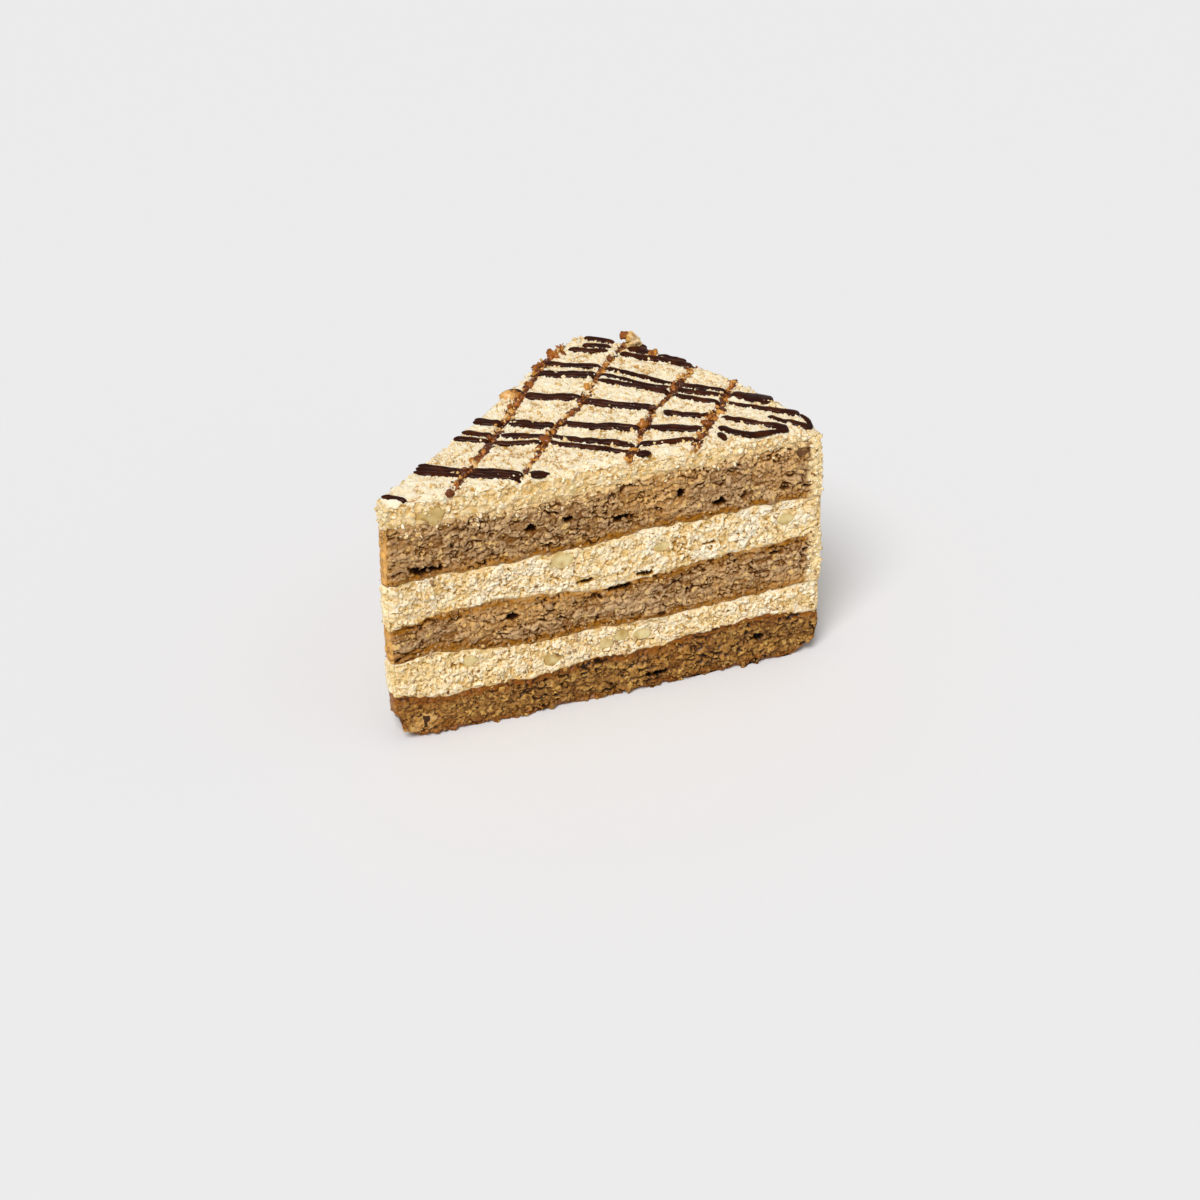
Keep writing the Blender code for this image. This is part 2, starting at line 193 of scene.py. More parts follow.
@dataclass(frozen=True)
class SlicePlan:
    """The wedge seen from above, and the height of each layer's top.

    The heights in `tops` are along the front cut, at `stations` millimetres from the tip. Away from
    the front cut a layer goes over to its own slow wave about the mean height. A swell is how far a
    side has settled outwards at a height.
    """

    half_angle: float = math.radians(20.65)
    tip_on_front: float = 7.4
    tip_on_back: float = 9.9
    tip_bulge: float = 0.5
    rim_radius: float = 131.9
    rim_centre: tuple[float, float] = (-17.9, -4.6)
    middle: tuple[float, float] = (60.61, -0.29)
    front_lean: float = 1.2
    full_height: float = 61.2
    hidden_wave: float = 0.7
    settle_reach: float = 14.0
    corner_droop: float = 1.3
    droop_reach: float = 6.0
    foot_reach: float = 8.5
    foot_rise: float = 6.6
    rim_heights: tuple[float, ...] = (0.0, 4.0, 12.0, 35.0, 50.0, 56.0, 59.5, 62.0)
    rim_swells: tuple[float, ...] = (0.9, 1.5, 1.7, 1.7, 1.5, 0.9, 0.0, -1.3)
    rim_swell_reach: float = 4.0
    tip_heights: tuple[float, ...] = (0.0, 5.0, 6.5, 8.0, 11.0, 30.0, 42.0, 55.0, 58.5, 61.2)
    tip_swells: tuple[float, ...] = (-0.1, -0.1, 0.0, 0.4, 0.7, 1.5, 1.7, 1.5, 0.9, 0.2)
    tip_swell_reach: float = 6.0
    round_by: float = 0.7
    round_reach: float = 2.2
    stations: tuple[float, ...] = (0, 8, 20, 35, 50, 65, 80, 95, 110)
    tops: dict[str, tuple[float, ...]] = field(
        default_factory=lambda: {
            "base_sponge": (12.5, 10.2, 10.0, 9.9, 11.2, 10.8, 12.2, 12.8, 10.8),
            "lower_cream": (21.0, 21.7, 20.2, 18.9, 19.2, 18.5, 18.9, 19.2, 20.2),
            "middle_sponge": (30.0, 31.2, 32.2, 31.4, 29.7, 30.4, 31.6, 32.1, 33.2),
            "upper_cream": (41.3, 41.6, 41.1, 41.4, 41.3, 42.6, 42.4, 43.1, 43.2),
            "top_sponge": (56.0, 55.5, 55.5, 55.1, 56.2, 56.7, 57.5, 57.9, 58.2),
            "top_cream": (61.2, 61.3, 61.3, 61.0, 61.2, 61.3, 61.2, 60.8, 60.5),
        }
    )

    def order(self, name: str) -> int:
        """A layer's number, counted from the base."""
        return list(self.tops).index(name)

    def below(self, name: str) -> str | None:
        """The layer that a layer lies on, or None for the base."""
        return list(self.tops)[self.order(name) - 1] if self.order(name) else None

    def wedge(self, u: Array, v: Array) -> tuple[Array, Array]:
        """The place at u from tip to rim and v from front cut to back cut, each 0 to 1.

        The tip is a chord with a slight bulge, the rim is an arc, and a straight line joins each
        place on the one to the like place on the other.

        Args:
            u: shares of the way from tip to rim.
            v: shares of the way from front cut to back cut.

        Returns:
            The places' x and y.
        """
        reach = self.tip_on_front * (1 - v) + self.tip_on_back * v
        across = 2 * v - 1
        tip_x = reach * math.cos(self.half_angle) - self.tip_bulge * (1 - across**2)
        tip_y = across * reach * math.sin(self.half_angle)
        ends = []
        for sign in (-1, 1):
            direction = np.array((math.cos(self.half_angle), sign * math.sin(self.half_angle)))
            nearest = direction @ self.rim_centre
            square = nearest**2 + self.rim_radius**2 - np.dot(self.rim_centre, self.rim_centre)
            corner = (nearest + math.sqrt(square)) * direction - self.rim_centre
            ends.append(math.atan2(corner[1], corner[0]))
        angle = ends[0] * (1 - v) + ends[1] * v
        rim_x = self.rim_centre[0] + self.rim_radius * np.cos(angle)
        rim_y = self.rim_centre[1] + self.rim_radius * np.sin(angle)
        return tip_x * (1 - u) + rim_x * u, tip_y * (1 - u) + rim_y * u

    def edge(self, side: Side, share: Array) -> Array:
        """The places at shares of the way along one side.

        Args:
            side: which side.
            share: how far along it, from 0 to 1, walked counter-clockwise.

        Returns:
            The places, one row each.
        """
        none = np.zeros_like(share)
        full = none + 1
        ways = {
            Side.FRONT: (share, none),
            Side.RIM: (full, share),
            Side.BACK: (1 - share, full),
            Side.TIP: (none, 1 - share),
        }
        return np.column_stack(self.wedge(*ways[side]))

    def length(self, side: Side) -> float:
        """How long a side is."""
        return np.hypot(*np.diff(self.edge(side, np.linspace(0, 1, 200)), axis=0).T).sum()

    def outline(self, cell: float) -> Outline:
        """The outline in even steps on each side, so that every corner is kept.

        Args:
            cell: about how long a step is.

        Returns:
            The outline's places, sides, distances along their side and distances to a corner.
        """
        parts = []
        for side in Side:
            length = self.length(side)
            count = max(2, round(length / cell))
            share = np.arange(count) / count
            own = np.full(count, side.value)
            corner = np.minimum(share, 1 - share) * length
            parts.append((self.edge(side, share), own, share * length, corner))
        return Outline(*(np.concatenate(column) for column in zip(*parts)))

    def along_and_across(self, x: Array, y: Array) -> tuple[Array, Array]:
        """How far a place is from the tip, and how far across: 0 at the front cut, 1 at the back."""
        across = (np.arctan2(y, x) + self.half_angle) / (2 * self.half_angle)
        return np.hypot(x, y) - self.tip_on_front, np.clip(across, 0.0, 1.0)

    def from_rim(self, x: Array, y: Array) -> Array:
        """How far places are inside the rim's arc."""
        return self.rim_radius - np.hypot(x - self.rim_centre[0], y - self.rim_centre[1])

    def on_side(self, side: Side, run: Array, height: Array) -> tuple[Array, Array, Array]:
        """Places on a side of the slice.

        Args:
            side: which side.
            run: how far along it, walked counter-clockwise.
            height: how high.

        Returns:
            The places, the ways along the side and the ways out of it.
        """
        share = run / self.length(side)
        here = self.edge(side, share)
        ahead = self.edge(side, share + 0.001)
        along = (ahead - here) / np.linalg.norm(ahead - here, axis=1)[:, None]
        out = at_height(along[:, 1], -along[:, 0])
        return np.column_stack((here, height)), at_height(*along.T), out

    def spot(self, side: Side, run: float, height: float) -> tuple[Array, Array, Array]:
        """One place on a side, the way along the side there and the way out of it."""
        return tuple(part[0] for part in self.on_side(side, np.array([run]), np.array([height])))

    def through(self, x: Array, heights: tuple[float, ...]) -> Array:
        """A smooth curve through heights at the stations: a cubic in each span, sloped as its neighbours.

        Args:
            x: where to read the curve.
            heights: its height at each station.

        Returns:
            The curve's height at each x.
        """
        knots = np.asarray(self.stations, float)
        values = np.asarray(heights, float)
        slopes = np.gradient(values, knots)
        x = np.clip(x, knots[0], knots[-1])
        span = np.clip(np.searchsorted(knots, x) - 1, 0, len(knots) - 2)
        width = knots[span + 1] - knots[span]
        t = (x - knots[span]) / width
        rise = t * t * (3 - 2 * t)
        lead = t * (1 - t) ** 2 * width * slopes[span]
        trail = t * t * (1 - t) * width * slopes[span + 1]
        return values[span] * (1 - rise) + values[span + 1] * rise + lead - trail

    def top(self, name: str, x: Array, y: Array) -> Array:
        """The even height of a layer's top.

        The front cut's curve goes over to mean + wave × sin, first by 1 − exp(−distance from the
        tip / settle reach), then by 3a² − 2a³ of the share across. The top cream droops at the
        rim's front corner.

        Args:
            name: the layer.
            x: places on the plan.
            y: places on the plan.

        Returns:
            The height at each place.
        """
        heights = self.tops[name]
        order = self.order(name)
        along, across = self.along_and_across(x, y)
        front = self.through(along, heights)
        wave = self.hidden_wave * np.sin(along / (13.0 + order) + 1.9 * order)
        settle = 1 - np.exp(-np.clip(along, 0, None) / self.settle_reach)
        back = front * (1 - settle) + (np.mean(heights) + wave) * settle
        blend = across * across * (3 - 2 * across)
        height = front * (1 - blend) + back * blend
        if name == "top_cream":
            corner_x, corner_y = self.wedge(np.array(1.0), np.array(0.0))
            away = np.hypot(x - corner_x, y - corner_y)
            height = height - self.corner_droop * bell(away, self.droop_reach)
        return height

    def seam(self, name: str, x: Array, y: Array) -> Array:
        """The ragged height where a layer meets the next: its even top and two sizes of waves."""
        order = self.order(name)
        flat = at_height(x, y, 7.3 * order)
        ragged = 0.45 * waves(flat, 3.1, 40 + order) + 0.3 * waves(flat, 1.1, 50 + order)
        return self.top(name, x, y) + ragged

    def foot(self, x: Array, y: Array) -> Array:
        """How high the base's underside has curved up: a quarter ellipse at the tip and at the rim."""
        along, across = self.along_and_across(x, y)
        from_tip = along - (self.tip_on_back - self.tip_on_front) * across
        inset = np.clip(np.minimum(from_tip, self.from_rim(x, y)) / self.foot_reach, 0.0, 1.0)
        return self.foot_rise * (1 - np.sqrt(1 - (1 - inset) ** 2))

    def lean(self, grid: Array) -> Array:
        """Moves places inwards near the front cut, by the lean at their height times (1 − across)²."""
        _, across = self.along_and_across(grid[..., 0], grid[..., 1])
        inward = self.front_lean * grid[..., 2] / self.full_height * (1 - across) ** 2
        moved = grid.copy()
        moved[..., 0] += math.sin(self.half_angle) * inward
        moved[..., 1] += math.cos(self.half_angle) * inward
        return moved

    def settled(self, grid: Array) -> Array:
        """Leans places in at the front cut, and swells them out at the rim and at the tip.

        A place moves out by the rim's or the tip's swell at its height, fading over the swell's
        reach. The two corners at the rim are rounded: a place moves towards the middle by
        round_by × exp(−(distance / round_reach)²).

        Args:
            grid: places, the last axis of length 3.

        Returns:
            The moved places.
        """
        height = grid[..., 2]
        moved = self.lean(grid)
        x, y = moved[..., 0], moved[..., 1]
        at_rim = 1 - ease(0.0, self.rim_swell_reach, self.from_rim(x, y))
        out = np.interp(height, self.rim_heights, self.rim_swells) * at_rim
        reach = np.maximum(np.hypot(x, y), 1.0)
        at_tip = 1 - ease(0.0, self.tip_swell_reach, x - self.tip_on_front * math.cos(self.half_angle))
        moved[..., :2] *= (1 + out / reach)[..., None]
        moved[..., 0] -= np.interp(height, self.tip_heights, self.tip_swells) * at_tip
        for across in (0.0, 1.0):
            corner = np.array(self.wedge(np.array(1.0), np.array(across)))
            inward = (self.middle - corner) / np.linalg.norm(self.middle - corner)
            near = np.exp(-(((grid[..., :2] - corner) ** 2).sum(axis=-1) / self.round_reach**2))
            moved[..., :2] += self.round_by * near[..., None] * inward
        return moved

    def depth(self, x: Array, y: Array) -> Array:
        """How far places are inside the nearest edge of the top: a cut, the rim or the tip."""
        sine, cosine = math.sin(self.half_angle), math.cos(self.half_angle)
        from_front = x * sine + y * cosine - self.front_lean
        from_back = x * sine - y * cosine
        from_tip = x - self.tip_on_back * cosine + self.tip_bulge
        return np.minimum.reduce((from_front, from_back, self.from_rim(x, y), from_tip))


PLAN = SlicePlan()


# ----- Meshes -----

NO_QUADS = np.zeros((0, 4), int)


@dataclass
class Shape:
    """A mesh in the making: vertices in plan millimetres, faces by vertex number, and named masks.

    The quads whose numbers are in `flat` are shaded flat: those that lie on the next layer, so that
    at a seam the sides' normals come from the sides alone.
    """

    vertices: Array
    quads: Array
    triangles: Array
    masks: dict[str, Array]
    flat: Array = field(default_factory=lambda: np.zeros(0, int))


def together(parts: list[Shape]) -> Shape:
    """Several shapes as one, their vertices one after another."""
    shifts = np.cumsum([0] + [len(part.vertices) for part in parts[:-1]])
    return Shape(
        np.concatenate([part.vertices for part in parts]),
        np.concatenate([part.quads + shift for part, shift in zip(parts, shifts)]),
        np.concatenate([part.triangles + shift for part, shift in zip(parts, shifts)]),
        {name: np.concatenate([part.masks[name] for part in parts]) for name in parts[0].masks},
    )


def closed_tube(rings: Array, masks: dict[str, Array]) -> Shape:
    """Rings of vertices, closed at each end by a pole in the middle of the ring there.

    Args:
        rings: places, (rows, columns, 3), each ring counter-clockwise seen from the next.
        masks: values for each ring vertex, (rows, columns); a pole takes its ring's mean.

    Returns:
        The closed shape, with the start pole and the end pole as its last two vertices.
    """
    rows, columns = rings.shape[:2]
    number = np.arange(rows * columns).reshape(rows, columns)
    after = np.roll(number, -1, axis=1)
    quads = np.stack((number[:-1], after[:-1], after[1:], number[1:]), axis=-1).reshape(-1, 4)
    low = np.column_stack((np.full(columns, rows * columns), after[0], number[0]))
    high = np.column_stack((np.full(columns, rows * columns + 1), number[-1], after[-1]))
    vertices = np.concatenate((rings.reshape(-1, 3), [rings[0].mean(axis=0)], [rings[-1].mean(axis=0)]))
    filled = {
        name: np.concatenate((values.ravel(), [values[0].mean(), values[-1].mean()]))
        for name, values in masks.items()
    }
    return Shape(vertices, quads, np.concatenate((low, high)), filled)


def grid_normals(grid: Array) -> Array:
    """Unit normals of a ring grid: the step round the ring crossed with the step to the next ring."""
    around = np.roll(grid, -1, axis=1) - np.roll(grid, 1, axis=1)
    normals = np.cross(around, np.gradient(grid, axis=0))
    return normals / np.maximum(np.linalg.norm(normals, axis=-1, keepdims=True), 1e-9)


def convexity(height: Array, reach: int) -> Array:
    """How far each grid place stands out from the mean of its neighbours, out to some rows and columns."""
    shifts = list(itertools.product(range(-reach, reach + 1), repeat=2))
    return height - sum(np.roll(height, shift, axis=(0, 1)) for shift in shifts) / len(shifts)


def add_object(name: str, data: bpy.types.ID) -> bpy.types.Object:
    """Adds an object to the scene, at the origin."""
    thing = bpy.data.objects.new(name, data)
    bpy.context.scene.collection.objects.link(thing)
    return thing


def make_piece(name: str, shape: Shape, material: Material, slot: str, *nodes: str) -> bpy.types.Object:
    """Turns a shape into a smooth-shaded object that rides on the slice.

    Args:
        name: the piece's name.
        shape: its mesh, in plan millimetres.
        material: its finish.
        slot: not used.
        nodes: the CAD nodes that it stands for.

    Returns:
        The new object, at the origin.
    """
    mesh = bpy.data.meshes.new(name)
    places = ((shape.vertices - (*PLAN.middle, 0.0)) * MM).astype(np.float32)
    corners = np.concatenate((shape.quads.ravel(), shape.triangles.ravel())).astype(np.int32)
    quads, triangles = len(shape.quads), len(shape.triangles)
    starts = np.concatenate((4 * np.arange(quads), 4 * quads + 3 * np.arange(triangles))).astype(np.int32)
    mesh.vertices.add(len(places))
    mesh.vertices.foreach_set("co", places.ravel())
    mesh.loops.add(len(corners))
    mesh.loops.foreach_set("vertex_index", corners)
    mesh.polygons.add(quads + triangles)
    mesh.polygons.foreach_set("loop_start", starts)
    mesh.update(calc_edges=True)
    for mask, values in shape.masks.items():
        mesh.attributes.new(mask, "FLOAT", "POINT").data.foreach_set("value", values.astype(np.float32))
    mesh.materials.append(material)
    smooth = np.ones(quads + triangles, bool)
    smooth[shape.flat] = False
    mesh.polygons.foreach_set("use_smooth", smooth)
    piece = add_object(name, mesh)
    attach(piece, BODY)
    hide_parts(*nodes)
    LOG.info("%s: %d triangles", name, 2 * quads + triangles)
    return piece


# ----- Finishes -----

FOOD_MASKS = ("hollow", "skin", "smear", "mould", "stain")


def linear(colour: str) -> tuple[float, float, float, float]:
    """The linear colour of an sRGB hex value such as #a0774e."""
    parts = [int(colour[i : i + 2], 16) / 255 for i in (1, 3, 5)]
    return (*(p / 12.92 if p <= 0.04045 else ((p + 0.055) / 1.055) ** 2.4 for p in parts), 1.0)


def add_node(
    tree: bpy.types.NodeTree, kind: str, inputs: dict | None = None, stops: tuple = (), **settings: str
) -> bpy.types.Node:
    """Adds a node, with its inputs, its settings and, for a colour ramp, its stops.

    Args:
        tree: the material's node tree.
        kind: the node's type, without the word ShaderNode before it.
        inputs: by name or number, a value, or another node's output to link.
        stops: pairs of a position and an sRGB hex colour, the first and the last before the others.
        settings: the node's properties.

    Returns:
        The new node.
    """
    node = tree.nodes.new("ShaderNode" + kind)
    for name, value in settings.items():
        setattr(node, name, value)
    for name, value in (inputs or {}).items():
        if isinstance(value, bpy.types.NodeSocket):
            tree.links.new(value, node.inputs[name])
        else:
            node.inputs[name].default_value = value
    for number, (position, colour) in enumerate(stops):
        elements = node.color_ramp.elements
        element = elements[number] if number < 2 else elements.new(position)
        element.position = position
        element.color = linear(colour)
    return node


@dataclass(frozen=True)
class FoodFinish:
    """A crumbly or creamy food: light grains among darker ones, with painted shade where the surface is
    hollow.

    Walnut sponge and nut buttercream are the same to the eye: a packed mass of ground nuts, matt,
    with a little light that enters and leaves again. The masks on the mesh are `lump` (each crumb's
    own random number, which runs through the tones, raised on standing crumbs as a painted
    highlight), `hollow` (painted shade, 0 to 1, deepest), `skin` (where baking browned a sponge or
    the air paled the cream, and on the top cream's top face a painted paler tone for the light from
    above), `smear` (the neighbour dragged over it by the knife), `mould` (the smooth sides that a
    ring pressed) and `stain` (caramel rubbed in).
    """

    name: str
    tones: tuple[tuple[float, str], ...]
    skin: str = "#f8f0da"
    # Painted shade: the crevice and hollow colours are laid where the hollow mask says shade falls, the one
    # in shallow dips, the other in the deepest.
    crevice_shade: str = "#b98a38"
    hollow: str = "#4a2a06"
    mould: str = "#f6dca2"
    smear: str = "#dcae62"
    # fleck: golden bits of nut, which also stand in for small glints as a painted highlight.
    fleck: str = "#c79e50"
    stain: str = "#5a3216"
    grain: float = 0.45
    grain_share: float = 0.4
    fine_share: float = 0.5
    fleck_strength: float = 0.8
    fleck_size: float = 0.7
    fleck_share: float = 0.1
    roughness: float = 0.7
    softness: float = 0.12
    shine: float = 0.2
    ior: float = 1.45
    light_tint: tuple[float, float, float] = (1.0, 0.7, 0.45)
    light_reach: float = 0.45
    bump: float = 0.35
    bump_height: float = 0.15
    bump_size: float = 0.3

    def build(self) -> Material:
        """The finish as a node material: a pattern's colour and bump on one soft shader."""
        material = bpy.data.materials.new(self.name)
        material.use_nodes = True
        tree = material.node_tree
        tree.nodes.clear()
        place = add_node(tree, "TexCoord").outputs["Object"]
        colour, rough = self.pattern(tree, place)
        bump = add_node(
            tree, "Bump", {"Strength": self.bump, "Distance": self.bump_height * MM, "Height": rough}
        )
        skin = {
            "Base Color": colour,
            "Roughness": self.roughness,
            "IOR": self.ior,
            "Specular IOR Level": self.shine,
            "Subsurface Weight": self.softness,
            "Subsurface Radius": self.light_tint,
            "Subsurface Scale": self.light_reach * MM,
            "Normal": bump.outputs["Normal"],
        }
        shader = add_node(tree, "BsdfPrincipled", skin)
        add_node(tree, "OutputMaterial", {"Surface": shader.outputs["BSDF"]})
        return material

    def pattern(
        self, tree: bpy.types.NodeTree, place: bpy.types.NodeSocket
    ) -> tuple[bpy.types.NodeSocket, bpy.types.NodeSocket]:
        """Crumb tones by lump and by finer grains, then each mask's colour laid over them.

        Args:
            tree: the material's node tree.
            place: the place on the object.

        Returns:
            The colour's socket and the bump height's socket.
        """
        masks = {
            name: add_node(tree, "Attribute", attribute_name=name).outputs["Fac"]
            for name in ("lump", *FOOD_MASKS)
        }
        randoms = []
        for size in (self.grain, self.fleck_size):
            cells = add_node(tree, "TexVoronoi", {"Vector": place, "Scale": 1 / (size * MM)})
            randoms.append(add_node(tree, "SeparateColor", {"Color": cells.outputs["Color"]}).outputs)
        grain, fleck = randoms
        soft = {"Vector": place, "Scale": 1 / (2.5 * self.grain * MM), "Detail": 3.0}
        cloud = add_node(tree, "TexNoise", soft)
        grainy = add_node(tree, "Mix", {0: self.grain_share, 2: cloud.outputs["Fac"], 3: grain[0]})
        both = add_node(tree, "Mix", {0: self.fine_share, 2: masks["lump"], 3: grainy.outputs[0]})
        colour = add_node(tree, "ValToRGB", {"Fac": both.outputs[0]}, self.tones).outputs["Color"]
        is_fleck = add_node(tree, "Math", {0: fleck[1], 1: self.fleck_share}, operation="LESS_THAN")
        flecked = {0: is_fleck.outputs[0], 1: self.fleck_strength}
        flecked = add_node(tree, "Math", flecked, operation="MULTIPLY")
        # Painted shade: the hollow mask darkens shallow dips to the crevice colour and the deepest to the
        # hollow colour.
        crevice_shade, deep = (
            add_node(
                tree, "MapRange", {"Value": masks["hollow"], "From Min": low, "From Max": high},
                interpolation_type="SMOOTHSTEP",
            )
            for low, high in ((0.0, 0.55), (0.45, 0.95))
        )
        coats = (
            (flecked.outputs[0], self.fleck),
            (masks["skin"], self.skin),
            (masks["mould"], self.mould),
            (masks["smear"], self.smear),
            (masks["stain"], self.stain),
            (crevice_shade.outputs[0], self.crevice_shade),
            (deep.outputs[0], self.hollow),
        )
        for share, shade in coats:
            coat = add_node(tree, "Mix", {0: share, 6: colour, 7: linear(shade)}, data_type="RGBA")
            colour = coat.outputs[2]
        fine = {"Vector": place, "Scale": 1 / (self.bump_size * MM), "Detail": 2.0, "Roughness": 0.6}
        return colour, add_node(tree, "TexNoise", fine).outputs["Fac"]


@dataclass(frozen=True)
class GlossyFinish(FoodFinish):
    """A smooth food, such as set chocolate, caramel crust or a cut nut: one colour with soft changes.

    The mask `lump` runs from the first of the tones to the last.
    """

    mottle: float = 1.0
    mottle_share: float = 0.3
    softness: float = 0.0
    ior: float = 1.47
    light_tint: tuple[float, float, float] = (1.0, 0.6, 0.3)
    light_reach: float = 1.5
    bump: float = 0.2
    bump_height: float = 0.2

    def pattern(
        self, tree: bpy.types.NodeTree, place: bpy.types.NodeSocket
    ) -> tuple[bpy.types.NodeSocket, bpy.types.NodeSocket]:
        """Tones by lump, with a share of a soft cloud, which is the bump as well.

        Args:
            tree: the material's node tree.
            place: the place on the object.

        Returns:
            The colour's socket and the bump height's socket.
        """
        lump = add_node(tree, "Attribute", attribute_name="lump").outputs["Fac"]
        soft = {"Vector": place, "Scale": 1 / (self.mottle * MM), "Detail": 3.0}
        cloud = add_node(tree, "TexNoise", soft)
        tone = add_node(tree, "Mix", {0: self.mottle_share, 2: lump, 3: cloud.outputs["Fac"]})
        ramp = add_node(tree, "ValToRGB", {"Fac": tone.outputs[0]}, self.tones)
        return ramp.outputs["Color"], cloud.outputs["Fac"]


# Baked sponge of ground walnuts: dry, so it is matt, with grey-brown crumbs and warm, dark painted shade in
# its pores.
NUT_SPONGE = FoodFinish(
    name="walnut_sponge",
    tones=(
        (0.0, "#54300a"), (1.0, "#f6dc90"),
        (0.22, "#82521a"), (0.45, "#9f7a50"), (0.62, "#b19068"), (0.8, "#c8a57a"),
    ),
    skin="#9a6212",
    crevice_shade="#683c0a",
    hollow="#241003",
    mould="#e4ac60",
    smear="#f4d9a0",
    fleck="#dcb673",
    grain=0.5,
    fleck_size=0.85,
    roughness=0.6,
    shine=0.12,
)
# The same sponge, soaked by nut oil and syrup: darker, with redder painted shade in the dips, and damp to
# the light.
BASE_SPONGE = FoodFinish(
    name="oily_base_sponge",
    tones=((0.0, "#432604"), (1.0, "#f0c66c"), (0.3, "#70430f"), (0.52, "#8b612c"), (0.75, "#ae7d38")),
    skin="#844a06",
    crevice_shade="#502c00",
    hollow="#180900",
    mould="#9a5c08",
    smear="#dcb070",
    fleck="#c29a52",
    grain=0.55,
    fleck_size=1.0,
    roughness=0.36,
    shine=0.28,
)
# Whipped buttercream full of ground nuts: pale, matt and soft, as light goes a little way into it.
NUT_CREAM = FoodFinish(
    name="nut_buttercream",
    tones=((0.0, "#b4802e"), (1.0, "#fff9ec"), (0.18, "#d3ac64"), (0.45, "#e5c68e"), (0.7, "#f3dfb8")),
    stain="#8a4c1c",
    fleck_share=0.05,
    softness=0.3,
)
# Set dark chocolate: close to black, with a dull sheen where it ran and cooled.
CHOCOLATE = GlossyFinish(
    name="set_dark_chocolate",
    tones=((0.0, "#1a0802"), (1.0, "#552809"), (0.5, "#321204")),
    mottle=1.2,
    roughness=0.32,
    shine=0.1,
)
# Boiled sugar crust: clear amber with a hard gloss, burnt dark in places and pale at thin edges.
CARAMEL = GlossyFinish(
    name="caramel_crust",
    tones=((0.0, "#2a1005"), (1.0, "#f4dca4"), (0.28, "#66300a"), (0.5, "#9c5614"), (0.72, "#cc8c34")),
    mottle=0.8,
    roughness=0.32,
    softness=0.1,
    shine=0.4,
)
# Walnut cut by the knife: waxy and pale inside, which lets light in, with a thin dark skin.
WALNUT = GlossyFinish(
    name="cut_walnut_and_its_skin",
    tones=((0.0, "#3b1e0a"), (1.0, "#ead9a6"), (0.2, "#6b4319"), (0.4, "#b5924e"), (0.7, "#d8c187")),
    mottle=1.5,
    roughness=0.5,
    softness=0.2,
    shine=0.35,
)


# ----- Relief, holes and nuts -----

@dataclass(frozen=True)
class Relief:
    """How rough a cut face is: three sizes of crumbs, and slits torn along their lying borders.

    Sizes, heights, widths and depths are in millimetres, from the largest crumbs to the smallest,
    and a weight is that size's share in a place's random number. The flatness is how much wider a
    crumb is than high. A slit opens where slow waves pass its level, and slit_lie is how far only
    lying borders open. The shades are how much painted shade falls along the crumbs' borders, in
    their dips and in the slits.
    """

    crumb_sizes: tuple[float, float, float]
    crumb_heights: tuple[float, float, float]
    slit_widths: tuple[float, float, float]
    slit_levels: tuple[float, float, float]
    slit_depth: float
    edge_shade: float
    slit_shade: float
    dip_shade: float = 0.5
    bias: float = -0.2
    flatness: float = 1.3
    ragged: float = 0.45
    slit_lie: float = 0.6
    wave_height: float = 0.3
    drag_height: float = 0.0
    weights: tuple[float, float, float] = (0.45, 0.35, 0.2)

    def heights(self, points: Array, seed: int) -> tuple[Array, Array, Array]:
        """The relief at places on a face.

        Crumb sizes are stacked: the sum of height × crumbs of that size, less the torn slits. A
        broad wave stands for the knife's uneven path, and narrow upright waves for the grains that
        it dragged down.

        Args:
            points: places, the last axis of length 3.
            seed: which random fields to read.

        Returns:
            The height outwards, how much shade is painted there from 0 to 1, and its crumb's random number.
        """
        detail, label, torn, at_border = np.zeros((4, *points.shape[:-1]))
        rows = zip(self.crumb_sizes, self.crumb_heights, self.slit_widths, self.slit_levels, self.weights)
        for number, (size, height, width, level, weight) in enumerate(rows):
            stretched = size * np.array((self.flatness, self.flatness, 1 / self.flatness))
            relief, border, lying, own = crumbs(points, stretched, self.ragged, seed + 10 * number)
            detail += height * relief
            label += weight * own
            gap = border * size
            opened = ease(level, level + 0.3, waves(points, 1.7 * size, seed + 8 + number))
            opened = opened * (1 - self.slit_lie + self.slit_lie * ease(0.3, 0.75, lying))
            opened = opened * ease(-0.2, 0.3, waves(points, 0.8 * size, seed + 30 + number))
            torn = np.maximum(torn, ease(0.0, 1.0, 1.5 - gap / width) * opened)
            # Painted shade along the crumbs' borders, where they meet.
            at_border = np.maximum(at_border, weight * np.clip(1.3 - gap / 0.3, 0, 1))
        reach = sum(self.crumb_heights)
        # Painted shade: dips, the crumbs' borders and the open slits are darkened where shade would fall.
        hollow = self.dip_shade * ease(0.0, 0.7 * reach, -detail) + self.edge_shade * at_border
        hollow = np.clip(np.maximum(hollow, self.slit_shade * torn), 0, 1)
        broad = self.wave_height * waves(points, 9.0, seed + 41)
        drag = self.drag_height * waves(points, (0.6, 0.6, 4.5), seed + 42)
        return detail - self.slit_depth * torn + broad + drag + self.bias, hollow, spread_label(label)


